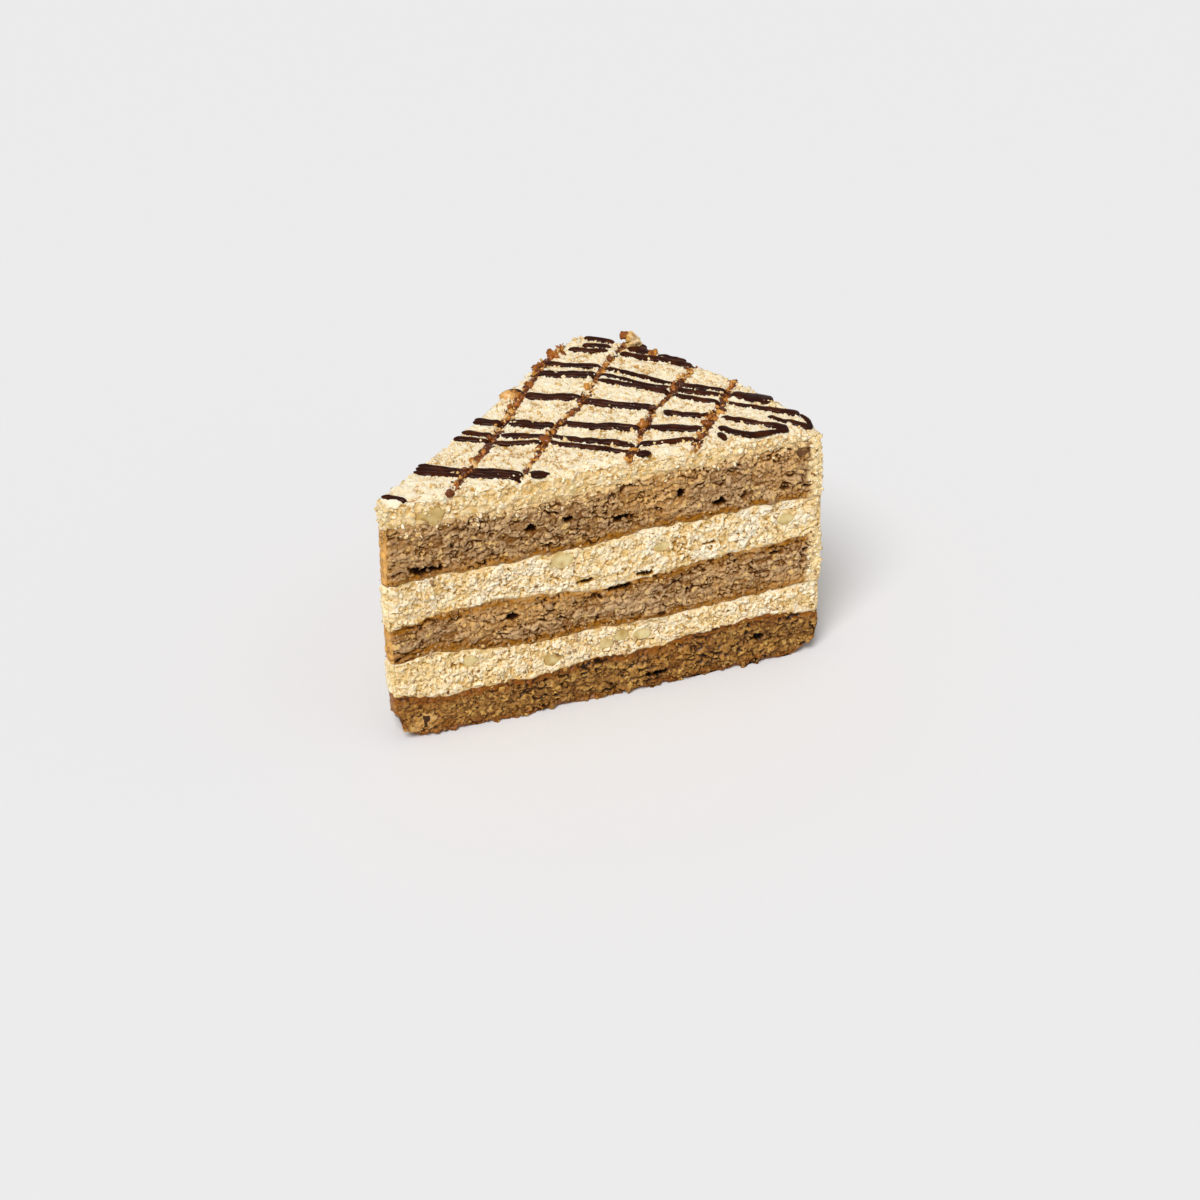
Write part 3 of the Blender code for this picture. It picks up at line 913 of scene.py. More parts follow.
SPONGE_RELIEF = Relief(
    crumb_sizes=(3.1, 1.6, 0.8),
    crumb_heights=(0.56, 0.42, 0.18),
    slit_widths=(0.78, 0.46, 0.2),
    slit_levels=(0.02, 0.15, 0.4),
    slit_depth=0.8,
    edge_shade=0.16,
    slit_shade=0.64,
)
BASE_RELIEF = Relief(
    crumb_sizes=(3.0, 1.5, 0.7),
    crumb_heights=(0.5, 0.4, 0.14),
    slit_widths=(0.7, 0.44, 0.2),
    slit_levels=(0.0, 0.12, 0.4),
    slit_depth=0.7,
    edge_shade=0.2,
    slit_shade=0.75,
    bias=-0.15,
)
CREAM_RELIEF = Relief(
    crumb_sizes=(2.4, 1.2, 0.6),
    crumb_heights=(0.45, 0.42, 0.15),
    slit_widths=(0.3, 0.22, 0.12),
    slit_levels=(0.35, 0.45, 0.65),
    slit_depth=0.5,
    edge_shade=0.1,
    slit_shade=0.5,
    dip_shade=0.62,
    flatness=1.0,
    ragged=0.4,
    slit_lie=0.3,
    drag_height=0.14,
)


def seam_push(points: Array) -> Array:
    """How far a cut face stands out where two layers meet: waves of 2.4 and 1 mm, the same for both."""
    return 0.28 * waves(points, 2.4, 77) + 0.14 * waves(points, 1.0, 78) - 0.1


@dataclass(frozen=True)
class Hole:
    """A torn hole in the front cut: its distance from the tip, height, half width, half height, depth."""

    along: float
    height: float
    half_width: float
    half_height: float
    depth: float = 2.2


HOLES = (
    Hole(34.0, 49.0, 1.2, 1.0),
    Hole(43.5, 49.5, 1.3, 0.9),
    Hole(8.5, 43.6, 3.6, 0.8),
    Hole(5.5, 44.0, 1.2, 1.0),
    Hole(57.5, 47.0, 2.3, 0.9),
    Hole(72.0, 50.5, 1.0, 1.3),
    Hole(82.0, 46.3, 1.7, 0.8),
    Hole(28.8, 27.2, 1.4, 0.9),
    Hole(47.5, 32.4, 1.7, 0.6),
    Hole(56.5, 28.9, 3.6, 0.6),
    Hole(63.0, 31.2, 1.8, 0.7),
    Hole(79.5, 36.0, 1.8, 0.4, 1.2),
    Hole(97.0, 29.5, 1.6, 0.5, 1.2),
    Hole(93.5, 7.0, 1.6, 0.9),
    Hole(66.0, 3.4, 2.8, 0.7),
)


@dataclass(frozen=True)
class Nut:
    """A cut piece of nut that lies flush in a side: its side, place, half sizes, height out and tone."""

    side: Side
    along: float
    height: float
    half_width: float
    half_height: float
    stands: float = 0.3
    tone: float = 0.75


def hidden_nuts() -> list[Nut]:
    """Nut pieces on the back cut and the rim, like those on the front cut."""
    draw = np.random.default_rng(71)
    nuts = []
    for side, length, count in ((Side.BACK, 98.0, 13), (Side.RIM, 74.0, 6)):
        for _ in range(count):
            name = ("lower_cream", "upper_cream", "top_cream")[draw.integers(3)]
            run = draw.uniform(4.0, length)
            place = PLAN.spot(side, run, 0.0)[0]
            low, high = (
                float(PLAN.top(layer, place[:1], place[1:2])[0]) for layer in (PLAN.below(name), name)
            )
            half = draw.uniform(1.2, 2.3)
            height = draw.uniform(low + half, max(high - half, low + half + 0.1))
            half_height = half * draw.uniform(0.6, 0.85)
            nuts.append(Nut(side, run, height, half, half_height, tone=draw.uniform(0.5, 1.0)))
    return nuts


NUTS = (
    Nut(Side.FRONT, 10.7, 57.2, 2.3, 1.8, 0.45, 0.6),
    Nut(Side.FRONT, 44.0, 57.4, 1.5, 1.1, tone=0.9),
    Nut(Side.FRONT, 41.5, 39.0, 2.5, 1.8, tone=0.8),
    Nut(Side.FRONT, 67.0, 37.6, 1.9, 1.2),
    Nut(Side.FRONT, 100.0, 38.2, 1.8, 1.2),
    Nut(Side.FRONT, 18.0, 17.8, 1.6, 1.2, tone=0.85),
    Nut(Side.FRONT, 38.5, 13.5, 2.0, 1.5, tone=0.5),
    Nut(Side.FRONT, 53.0, 14.6, 1.6, 1.2),
    Nut(Side.FRONT, 56.6, 16.0, 1.8, 1.3, tone=0.6),
    Nut(Side.FRONT, 62.0, 15.2, 2.0, 1.3, tone=0.8),
    Nut(Side.FRONT, 103.8, 55.2, 1.3, 1.0, tone=0.05),
    *hidden_nuts(),
)


# ----- The layers -----

@dataclass
class Layer:
    """One layer of the cake, sponge or cream: a closed skin of rings from its underside to its top.

    A share says how much of the relief a side keeps, `smooth_share` on the tip and `rim_share` on
    the rim. A smear is a strength and how far it reaches in from the seam.
    """

    name: str
    relief: Relief
    slot: str
    seed: int
    cell: float = 0.225
    skin_low: float = 0.0
    skin_high: float = 0.0
    skin_thickness: float = 2.4
    baked_thickness: float = 0.55
    # Painted light: how strongly raised crumbs are given lighter tones and sunk ones more shade.
    edge_light: float = 1.2
    smear_low: tuple[float, float] = (0.12, 0.9)
    smear_high: tuple[float, float] = (0.15, 0.9)
    smooth_share: float = 0.12
    rim_share: float = 0.4
    mould_share: float = 1.0
    corner_round: float = 0.55
    edge_lift: float = 0.0
    ice_width: float = 0.0
    white_share: float = 0.0
    tip_darkening: float = 0.0
    tip_darkening_reach: float = 25.0
    seam_reach: float = 0.8
    caps: tuple[float, ...] = (0.012, 0.05, 0.2, 0.5)
    foot_caps: tuple[float, ...] = (0.5, 0.3)
    foot_shrink: float = 0.2
    foot_rings: int = 42
    grid: Array = field(init=False)
    normals: Array = field(init=False)
    side_rows: slice = field(init=False)
    outline: Outline = field(init=False)

    @property
    def below(self) -> str | None:
        """The layer that this one lies on, or None for the base."""
        return PLAN.below(self.name)

    def uneven(self, points: Array, size: float | tuple[float, float, float], number: int) -> Array:
        """One of the layer's own fields of waves."""
        return waves(points, size, self.seed + number)

    def profile(self) -> tuple[Array, Array]:
        """How each ring, from the underside to the top, shrinks to the middle and has risen.

        Returns:
            For each ring, the share that it has shrunk and the share of the layer's height.
        """
        thickness = np.mean(PLAN.tops[self.name]) - (np.mean(PLAN.tops[self.below]) if self.below else 0)
        rows = round(thickness / self.cell)
        foot = np.concatenate((self.foot_caps, np.linspace(self.foot_shrink, 0, self.foot_rings)[:-1]))
        under = self.caps[::-1] if self.below else foot
        shrink = np.concatenate((under, np.zeros(rows + 1), self.caps))
        rise = np.concatenate((np.zeros(len(under)), np.linspace(0, 1, rows + 1), np.ones(len(self.caps))))
        self.side_rows = slice(len(under), len(under) + rows + 1)
        return shrink[:, None], rise[:, None]

    def cut_share(self) -> Array:
        """How rough each outline place is: 1 on the two cuts, and little on the tip and the rim."""
        near = bell(self.outline.corner, 0.5)
        smooth = np.where(self.outline.on(Side.RIM), self.rim_share, self.smooth_share)
        return np.where(self.outline.on(Side.RIM, Side.TIP), smooth + (0.5 - smooth) * near, 1 - 0.5 * near)

    def smear(self, gap: Array, grid: Array, strength: float, reach: float, number: int) -> Array:
        """The neighbour dragged over it: strength × ease of uneven waves less the gap over the reach."""
        blotch = self.uneven(grid, (1.6, 1.6, 1.0), number) + 0.6 * self.uneven(grid, 0.7, number + 1)
        return strength * ease(-0.45, 0.35, blotch + 0.9 - 1.5 * gap / reach)

    def hole_depth(self, grid: Array) -> Array:
        """The depth of the torn holes: depth × exp(−1.3 d⁴), with d in half sizes and roughened.

        Args:
            grid: the ring places.

        Returns:
            The depth at each place.
        """
        wobble = 0.5 * self.uneven(grid, 0.9, 77)
        depth = np.zeros(grid.shape[:2])
        for hole in HOLES:
            across = (self.outline.run - hole.along) / hole.half_width
            up = (grid[..., 2] - hole.height) / hole.half_height
            far = np.sqrt(across**2 + up**2) + wobble
            depth = np.maximum(depth, hole.depth * np.exp(-1.3 * np.clip(far, 0, None) ** 4))
        return depth * self.outline.on(Side.FRONT)

    def flat_share(self, grid: Array) -> Array:
        """How far a nut piece presses the crumbs flat: 1 under the piece, 0 from a quarter beyond it."""
        flat = np.zeros(grid.shape[:2])
        for nut in NUTS:
            away = np.where(self.outline.on(nut.side), self.outline.run - nut.along, 1e3) / nut.half_width
            far = np.hypot(away, (grid[..., 2] - nut.height) / nut.half_height)
            flat = np.maximum(flat, 1 - ease(0.95, 1.25, far))
        return flat

    def iced(self, grid: Array) -> Array:
        """Cream on the rim: a coat over the rim, and its ragged cut edge at the ends of both cuts."""
        outline = self.outline
        ragged = self.uneven(grid, 1.6, 73)
        toward_rim = np.where(outline.on(Side.FRONT), outline.run > 50, outline.run < 50)
        cut = outline.on(Side.FRONT, Side.BACK) & toward_rim
        strip = 1 - ease(self.ice_width - 0.9, self.ice_width + 0.9, outline.corner + 0.9 * ragged)
        coat = np.where(outline.on(Side.RIM), 0.8 + 0.2 * ragged, np.where(cut, strip, 0.0))
        return coat * (self.ice_width > 0)

    def browned(self, grid: Array, low: Array, high: Array) -> tuple[Array, Array, Array]:
        """The browned bands along the seams, and in cream the patches that the air paled.

        A band is 0.4 × (1 − ease from 0.3 to 1.4) + 0.6 × (1 − ease from 0.4 to 0.8) of the distance
        to the seam over an uneven thickness, and is mottled. At the seam itself a line is baked hard.

        Args:
            grid: the ring places.
            low: the height of the underside there.
            high: the height of the top there.

        Returns:
            The skin mask, the hard line's strength, and the mottle's slow waves.
        """
        patch = 1 + 0.3 * self.uneven(grid, (7.0, 7.0, 2.0), 63)
        thick = self.skin_thickness * (patch + 0.25 * self.uneven(grid, (1.8, 1.8, 0.7), 69))
        blotch = self.uneven(grid, (4.5, 4.5, 1.5), 71)
        speckle = 0.5 * self.uneven(grid, 0.8, 72)
        bands, lines = [], []
        for strength, gap in ((self.skin_low, grid[..., 2] - low), (self.skin_high, high - grid[..., 2])):
            share = gap / thick
            bands.append(strength * (0.4 * (1 - ease(0.3, 1.4, share)) + 0.6 * (1 - ease(0.4, 0.8, share))))
            lines.append(strength * bell(gap, self.baked_thickness))
        skin = np.maximum(*bands) * (0.85 + 0.35 * blotch + speckle)
        pale = ease(-0.05, 0.3, self.uneven(grid, (2.8, 2.8, 2.0), 81))
        pale *= self.white_share * (0.45 + 0.55 * grid[..., 0] / PLAN.rim_radius)
        pale = pale * np.where(self.outline.on(Side.RIM), 0.3, 1.0)
        return np.maximum(skin, pale), np.clip(np.maximum(*lines), 0, 1), blotch

    def pressed(self, grid: Array) -> Array:
        """The mould mask: the smooth tip and rim, the cuts' ends beside them, and golden patches."""
        ragged = self.uneven(grid, 1.3, 64)
        beside = (0.5 + 0.5 * ragged) * bell(self.outline.corner, 0.8)
        mould = np.where(self.outline.on(Side.RIM, Side.TIP), 0.7 + 0.6 * ragged, beside)
        mould *= np.where(self.outline.on(Side.RIM), 1.0, self.mould_share)
        golden = 0.35 * ease(0.0, 0.7, self.uneven(grid, (14.0, 14.0, 7.0), 83))
        return np.clip(np.maximum(mould, golden), 0, 1)

    def shape(self) -> Shape:
        """The layer's skin: rings shrunk and raised by the profile, then pushed out by the relief.

        The push is relief × the side's share × calm, which is low on browned, iced and nut-covered
        places, going over to the seam's own push at the seams, less the holes and the worn corners.

        Returns:
            The closed shape with its masks.
        """
        self.outline = PLAN.outline(self.cell)
        shrink, rise = self.profile()
        places = self.outline.places
        centre = places.mean(axis=0)
        x, y = (centre[axis] + (places[:, axis] - centre[axis]) * (1 - shrink) for axis in (0, 1))
        low = PLAN.seam(self.below, x, y) if self.below else PLAN.foot(x, y)
        high = PLAN.seam(self.name, x, y)
        ground = at_height(x, y)
        edge = self.uneven(ground, 4.2, 61) + 0.6 * self.uneven(ground, 1.5, 62)
        lift = self.edge_lift * np.clip(0.5 + 1.4 * edge, 0, None)
        lift = lift * (1 - rise) ** 5 * np.exp(-shrink / 0.01)
        z = low * (1 - rise) + high * rise + lift
        grid = np.stack((x, y, z), axis=-1)
        normals = grid_normals(grid)
        normals[self.side_rows, :, 2] = 0.0
        normals /= np.linalg.norm(normals, axis=-1, keepdims=True)

        height, hollow, label = self.relief.heights(grid, self.seed)
        share = self.cut_share()
        foot = np.zeros_like(x) if self.below else np.clip(PLAN.foot(x, y) / 0.5, 0, 1)
        holes = self.hole_depth(grid)
        skin, baked, blotch = self.browned(grid, low, high)
        flat = self.flat_share(grid)
        iced = self.iced(grid)
        # Painted light: crumbs that stand out get lighter tones below, and sunk ones more painted shade.
        stands = self.edge_light * convexity(height, 2)
        calm = (1 - 0.3 * baked) * (1 - flat) * (1 - 0.6 * iced)
        to_seam = np.minimum(z - low, high - z) if self.below else high - z
        inner = ease(0.0, self.seam_reach, to_seam)
        ragged_foot = 1 + self.edge_lift * np.exp(-z / 1.5)
        raised = height * share * calm * inner * ragged_foot + seam_push(grid) * (1 - inner)
        corner = self.corner_round * bell(self.outline.corner, 0.9)
        push = (raised - 0.2 * flat + 0.25 * iced - holes - corner) * np.where(shrink > 0, foot * 0.5, 1.0)
        moved = grid + normals * push[..., None]
        moved[..., 2] = np.maximum(moved[..., 2], 0.0)
        self.grid = PLAN.settled(moved)
        self.normals = grid_normals(self.grid)

        from_tip = 0.15 + 0.85 * ease(14.0, 26.0, x)
        smear = self.smear(high - z, grid, *self.smear_high, 65) * from_tip
        smear = np.maximum.reduce((smear, self.smear(z - low, grid, *self.smear_low, 67), iced))
        # Painted shade: dips, slits and sunk crumbs are darkened, less under smears and near the seams, and
        # the holes by their depth; the baked line at the seams is the sponge's real crust.
        shade = (hollow + np.clip(-stands, -0.25, 0.4)) * share * (1 - flat) * (1 - 0.8 * smear)
        shade = shade * (0.15 + 0.85 * inner) + 0.2 * baked * np.clip(0.4 + blotch, 0, 1) + holes
        # Tones go darker towards the tip, fading over a reach.
        lump = label + np.clip(stands, -0.3, 0.5) - self.tip_darkening * np.exp(-x / self.tip_darkening_reach)
        masks = {
            "lump": np.clip(lump, 0, 1),
            "hollow": np.clip(shade, 0, 1),
            "skin": skin,
            "smear": smear,
            "mould": np.maximum(self.pressed(grid), np.where(shrink > 0, foot, 0)),
            "stain": np.zeros_like(x),
        }
        return closed_tube(self.grid, masks)

    def build(self, material: Material) -> bpy.types.Object:
        """The layer as a piece for its CAD node, shaded flat where it touches the next layers."""
        skin = self.shape()
        rows = np.arange(self.grid.shape[0] - 1)
        hidden = rows >= self.side_rows.stop - 1
        if self.below:
            hidden |= rows < self.side_rows.start
        skin.flat = np.flatnonzero(np.repeat(hidden, self.grid.shape[1]))
        return make_piece(self.name, skin, material, self.slot, self.name)

    def pick(self, count: int, draw: np.random.Generator, lowest: float = 0.0) -> tuple[Array, Array]:
        """Random places on the layer's cuts, from a share of its height up, and their normals."""
        sides = self.side_rows
        first = sides.start + 1 + round(lowest * (sides.stop - sides.start - 2))
        rows = draw.integers(first, sides.stop - 1, count)
        cut = self.outline.on(Side.FRONT, Side.BACK) & (self.outline.corner > 1.0)
        columns = draw.choice(np.flatnonzero(cut), count)
        return self.grid[rows, columns], self.normals[rows, columns]

    def pick_iced(self, count: int, draw: np.random.Generator) -> tuple[Array, Array]:
        """Random places on the rim and where its cream shows at the cuts, and their normals."""
        along = self.outline.places[:, 0]
        rim = (along > 0.8 * along.max()) & (self.outline.corner < self.ice_width + 0.4)
        columns = draw.choice(np.flatnonzero(rim), count)
        rows = draw.integers(self.side_rows.start + 1, self.side_rows.stop - 1, count)
        return self.grid[rows, columns], self.normals[rows, columns]


# ----- The top: cream, score lines and drizzle -----

@dataclass(frozen=True)
class DrizzlePlan:
    """Where the drizzle and the score lines lie on the top.

    A place is given by its station, across the strands, and its run, along them, both from the tip's
    back corner. A strand is its station at its start and at its end, its width, and its run where
    that isn't the whole way between two score lines. A path is a loose run of drizzle by x, y and
    width. The sway of a score line is how far it is off its run at some stations. The edge crust is
    torn crust beside the back cut, by x, y and reach.
    """

    angle: float = math.radians(-59.0)
    score_runs: tuple[float, ...] = (15.2, 29.3, 49.6, 63.2)
    wobble: float = 0.35
    edge_inset: float = -0.35
    step: float = 0.25
    fewest_steps: int = 8
    sway: tuple[tuple[tuple[float, float], ...], ...] = (
        ((0, 0.0), (60, 0.0)),
        ((10, -0.2), (24, -1.2), (46, -1.2), (57, 1.2), (81, 0.8), (98, 2.2)),
        ((22, 1.0), (46, -0.7), (59, -1.4), (69, 0.2), (90, 2.0)),
        ((40, 0.0), (80, 0.0)),
    )
    strands: tuple[tuple[tuple[float, ...], ...], ...] = (
        (
            (0.2, -2.2, 1.4, 0.2, 9.6), (16.8, 15.2, 4.2), (34.5, 34.3, 1.6), (38.9, 37.6, 1.6),
            (44.2, 44.6, 2.8), (59.8, 60.8, 3.0),
        ),
        (
            (16.7, 17.6, 4.5), (33.8, 36.5, 1.6), (38.0, 39.8, 1.8), (44.9, 45.7, 2.8), (60.2, 61.3, 3.0),
            (73.2, 75.4, 3.2), (79.4, 81.0, 1.8), (89.2, 91.3, 1.8, 18.6, 28.6),
            (92.8, 94.0, 1.8, 21.3, 28.6), (98.0, 97.5, 1.8, 20.4, 28.6),
        ),
        (
            (36.8, 35.8, 1.6), (39.8, 39.8, 1.8), (47.3, 48.6, 2.6), (60.3, 60.7, 3.0), (73.2, 71.2, 1.6),
            (76.0, 73.4, 1.4), (80.9, 75.8, 1.6), (91.2, 89.0, 2.0), (92.4, 91.6, 1.5, 41.2, 48.9),
        ),
        (
            (35.0, 36.2, 2.2, 50.4, 54.1), (40.4, 46.8, 1.8), (49.5, 52.6, 2.4),
            (59.9, 59.7, 1.8, 51.0, 60.8), (69.9, 69.0, 1.6), (73.3, 72.4, 1.8), (76.2, 76.2, 1.6),
        ),
    )
    paths: tuple[tuple[tuple[float, float, float], ...], ...] = (
        ((106.2, -13.0, 3.4), (108.3, -16.7, 4.6), (110.0, -20.0, 5.4), (111.3, -22.8, 4.4)),
        ((102.3, -15.5, 1.4), (106.4, -24.5, 1.9), (108.6, -28.7, 2.3), (110.6, -32.3, 2.8)),
        ((110.6, -32.0, 1.2), (110.3, -34.9, 1.2), (108.4, -37.9, 1.1), (106.6, -38.4, 1.0)),
        (
            (94.7, -20.8, 1.8), (98.6, -29.9, 2.3), (101.0, -33.1, 2.7), (101.6, -35.1, 3.2),
            (102.0, -36.5, 2.6),
        ),
        ((103.6, -27.9, 1.2), (104.7, -32.9, 1.7), (107.1, -36.6, 2.3), (106.7, -38.4, 1.5)),
        (
            (90.0, -24.6, 2.1), (90.6, -28.5, 2.4), (92.3, -32.4, 2.7), (94.8, -34.3, 2.0),
            (99.5, -36.0, 1.6), (102.2, -37.0, 1.8),
        ),
        ((87.8, -26.8, 2.2), (86.6, -30.9, 1.7)),
        ((90.6, -16.2, 1.6), (93.3, -17.3, 1.3), (95.7, -17.2, 1.2), (97.2, -16.1, 1.0)),
        ((86.0, -11.8, 1.8), (87.9, -8.9, 2.0)),
        (
            (111.6, 21.4, 1.9), (110.8, 23.6, 2.0), (109.0, 24.0, 2.2), (107.9, 21.6, 2.4),
            (108.6, 19.2, 2.3), (110.4, 18.2, 2.1), (111.8, 19.4, 1.9),
        ),
        ((107.2, 24.6, 3.0), (108.6, 22.2, 3.8), (109.9, 19.2, 2.8)),
        ((41.4, -10.6, 2.6), (42.2, -13.2, 3.2), (43.2, -14.5, 2.4), (44.8, -15.1, 0.8)),
    )
    crossing_paths: int = 6
    edge_crust: tuple[tuple[float, float, float], ...] = (
        (92.4, 34.4, 1.5), (82.8, 30.8, 1.3), (66.9, 23.2, 0.6), (109.6, 17.6, 0.8),
    )

    def dragged(self, station: Array, run: Array) -> Array:
        """How much caramel and chocolate the knife left along a score: patches, with bare cream between."""
        return ease(-0.45, 0.1, waves(at_height(station, run, 4.4), 3.4, 63))

    def crossings(self, number: int) -> Array:
        """The stations where strands meet a score line: the ends before it and the starts after it."""
        before = [strand[1] for strand in self.strands[number] if len(strand) == 3]
        if number + 1 < len(self.strands):
            return np.array(before + [strand[0] for strand in self.strands[number + 1] if len(strand) == 3])
        x, y = np.array([path[0][:2] for path in self.paths[: self.crossing_paths]]).T
        return np.concatenate((before, self.station_and_run(x, y)[0]))

    def along_path(self, path: tuple[tuple[float, float, float], ...]) -> tuple[Array, Array, Array]:
        """Places and widths in small steps along a path, bent through its points and kept on the top.

        Args:
            path: its points, each an x, a y and a width.

        Returns:
            The x, y and width of each step.
        """
        points = np.array(path)
        reach = np.concatenate(([0.0], np.cumsum(np.hypot(*np.diff(points[:, :2], axis=0).T))))
        fine = np.linspace(0, reach[-1], max(self.fewest_steps, round(reach[-1] / self.step)))
        x, y, width = (np.interp(fine, reach, column) for column in points.T)
        kernel = np.ones(5) / 5
        x, y = (np.convolve(np.pad(values, 2, mode="edge"), kernel, "valid") for values in (x, y))
        short = np.clip(0.5 - PLAN.depth(x, y), 0, None) * (y < 0)
        return x - short * math.sin(PLAN.half_angle), y + short * math.cos(PLAN.half_angle), width

    def corner(self) -> Array:
        """The tip's back corner, from which stations and runs are measured."""
        return PLAN.tip_on_back * np.array((math.cos(PLAN.half_angle), math.sin(PLAN.half_angle)))

    def on_top(self, station: Array, run: Array) -> tuple[Array, Array]:
        """The place on the plan of a station and a run."""
        x, y = self.corner()
        sine, cosine = math.sin(self.angle), math.cos(self.angle)
        return x - station * sine + run * cosine, y + station * cosine + run * sine

    def station_and_run(self, x: Array, y: Array) -> tuple[Array, Array]:
        """The station and run of a place on the plan."""
        dx, dy = x - self.corner()[0], y - self.corner()[1]
        sine, cosine = math.sin(self.angle), math.cos(self.angle)
        return -dx * sine + dy * cosine, dx * cosine + dy * sine

    def score_run(self, number: int, station: Array) -> Array:
        """The run of a score line at a station: the knife swayed a little."""
        return self.score_runs[number] + np.interp(station, *zip(*self.sway[number]))

    def strand_span(self, cell: int, strand: tuple[float, ...]) -> tuple[Array, Array]:
        """The stations and runs along a strand, in small steps, cut off at the slice's edge.

        Args:
            cell: which gap between score lines the strand lies in.
            strand: its numbers.

        Returns:
            Stations and runs, which are few or none where the strand is off the slice.
        """
        first, last, _, *ends = strand
        start, end = ends or (self.score_run(cell - 1, first) if cell else 0.0, self.score_run(cell, last))
        count = max(self.fewest_steps, round((end - start) / self.step))
        run = np.linspace(start, end, count)
        station = first + (last - first) * np.linspace(0, 1, count)
        inside = PLAN.depth(*self.on_top(station, run)) > self.edge_inset
        return station[inside], run[inside]


DRIZZLE = DrizzlePlan()


@dataclass
class TopCream:
    """The cream on top: a lattice for the top face, a ring skin for the sides, a plain underside.

    A grain is its size, its height and its share in a place's random number.
    """

    name: str = "top_cream"
    below: str = "top_sponge"
    relief: Relief = CREAM_RELIEF
    seed: int = 900
    cells_along: int = 334
    cells_across: int = 220
    side_rows: int = 20
    grains: tuple[tuple[float, float, float], ...] = ((2.6, 0.2, 0.3), (1.3, 0.24, 0.4), (0.65, 0.18, 0.3))
    grain_ragged: float = 0.4
    level: float = 3.7
    broad_height: float = 0.3
    broad_size: float = 6.0
    groove_depth: float = 0.9
    groove_width: float = 0.8
    bank_height: float = 0.25
    edge_crumble: float = 0.6
    smooth_share: float = 0.25
    # Painted light: a paler tone over the whole top face, for the light from above that the sides don't
    # get.
    painted_top_light: float = 0.55
    top_grid: Array = field(init=False)
    cut_grid: Array = field(init=False)
    cut_normals: Array = field(init=False)

    def score_distance(self, x: Array, y: Array) -> Array:
        """How far places on the top are from the nearest score line."""
        station, run = DRIZZLE.station_and_run(x, y)
        lines = range(len(DRIZZLE.score_runs))
        return np.minimum.reduce([np.abs(run - DRIZZLE.score_run(number, station)) for number in lines])

    def broad(self, x: Array, y: Array) -> Array:
        """The slow waves that the palette knife left on the top."""
        return self.broad_height * waves(at_height(x, y, self.level), self.broad_size, self.seed + 51)

    def top_relief(self, x: Array, y: Array) -> tuple[Array, Array, Array]:
        """The height of the top face over its even height: grains, and a ragged groove at each score.

        The groove is −depth × exp(−(d/w)²) and its banks are +bank × exp(−((d − 2w)/w)²), with d
        the distance to the score line, roughened before use.

        Args:
            x: places on the plan.
            y: places on the plan.

        Returns:
            The height, how much shade is painted there, and its grain's random number.
        """
        flat = at_height(x, y, self.level)
        detail, label, torn = np.zeros((3, *x.shape))
        for number, (size, height, weight) in enumerate(self.grains):
            seed = self.seed + 10 * number
            relief, border, _, own = crumbs(flat, np.full(3, size), self.grain_ragged, seed)
            detail += height * relief
            label += weight * own
            opened = ease(0.25, 0.6, waves(flat, 2.6 * size, number))
            torn = np.maximum(torn, np.clip(1.5 - border * size / 0.16, 0, 1) * opened)
        distance = self.score_distance(x, y) + 0.35 * waves(flat, 0.9, self.seed + 52)
        groove = self.groove_depth * bell(distance, self.groove_width)
        bank = self.bank_height * bell(distance - 2 * self.groove_width, self.groove_width)
        height = detail + self.broad(x, y) - groove + bank - 0.35 * torn
        # Painted shade in the top's dips and cracks.
        return height, np.maximum(0.42 * ease(0.0, 0.4, -detail), 0.55 * torn), spread_label(label)

    def surface_height(self, x: Array, y: Array) -> Array:
        """The height of the top face, relief and all, at places on the plan."""
        return PLAN.top(self.name, x, y) + self.top_relief(x, y)[0]

    def ring_outline(self, edge: Array, rows: int, columns: int) -> Outline:
        """The outline of the lattice's edge.

        Args:
            edge: the places on the edge, walked counter-clockwise.
            rows: the lattice's rows.
            columns: the lattice's columns.

        Returns:
            The places, their sides, how far along the side they are and how far from a corner.
        """
        side = np.repeat([side.value for side in Side], [rows - 1, columns - 1] * 2)
        step = np.linalg.norm(np.roll(edge, -1, axis=0)[:, :2] - edge[:, :2], axis=1)
        run, corner = np.zeros((2, len(edge)))
        for value in range(len(Side)):
            here = side == value
            run[here] = np.cumsum(step[here]) - step[here][0]
            corner[here] = np.minimum(run[here], run[here][-1] - run[here])
        return Outline(edge[:, :2], side, run, corner)

    def shape(self) -> Shape:
        """The top cream's skin: the lattice is raised by the relief, and rings run from its edge down.

        The rings are pushed out by the relief, the topmost moves the lattice's edge with it, and two
        smaller rings and a pole close the underside.

        Returns:
            The closed shape with its masks.
        """
        steps = (np.linspace(0, 1, cells + 1) for cells in (self.cells_along, self.cells_across))
        x, y = PLAN.wedge(*np.meshgrid(*steps, indexing="ij"))
        height, hollow, label = self.top_relief(x, y)
        # Painted light: raised grains get lighter tones and sunk ones darker.
        label = np.clip(label + np.clip(1.2 * convexity(height, 1), -0.3, 0.4), 0, 1)
        uneven = waves(at_height(x, y), 1.2, self.seed + 53)
        at_border = bell(np.clip(PLAN.depth(x, y), 0, None), 0.5)
        crumble = self.edge_crumble * (1 + 0.8 * uneven) * at_border
        top = np.stack((x, y, PLAN.top(self.name, x, y) + height - crumble), axis=-1)
        rows, columns = x.shape
        number = np.arange(x.size).reshape(x.shape)
        ring = np.concatenate((number[:-1, 0], number[-1, :-1], number[:0:-1, -1], number[0, :0:-1]))
        edge = top.reshape(-1, 3)[ring]
        outline = self.ring_outline(edge, rows, columns)
        rough = self.smooth_share + (1 - self.smooth_share) * bell(outline.corner, 0.9)
        share = np.where(outline.on(Side.RIM, Side.TIP), rough, 1.0)

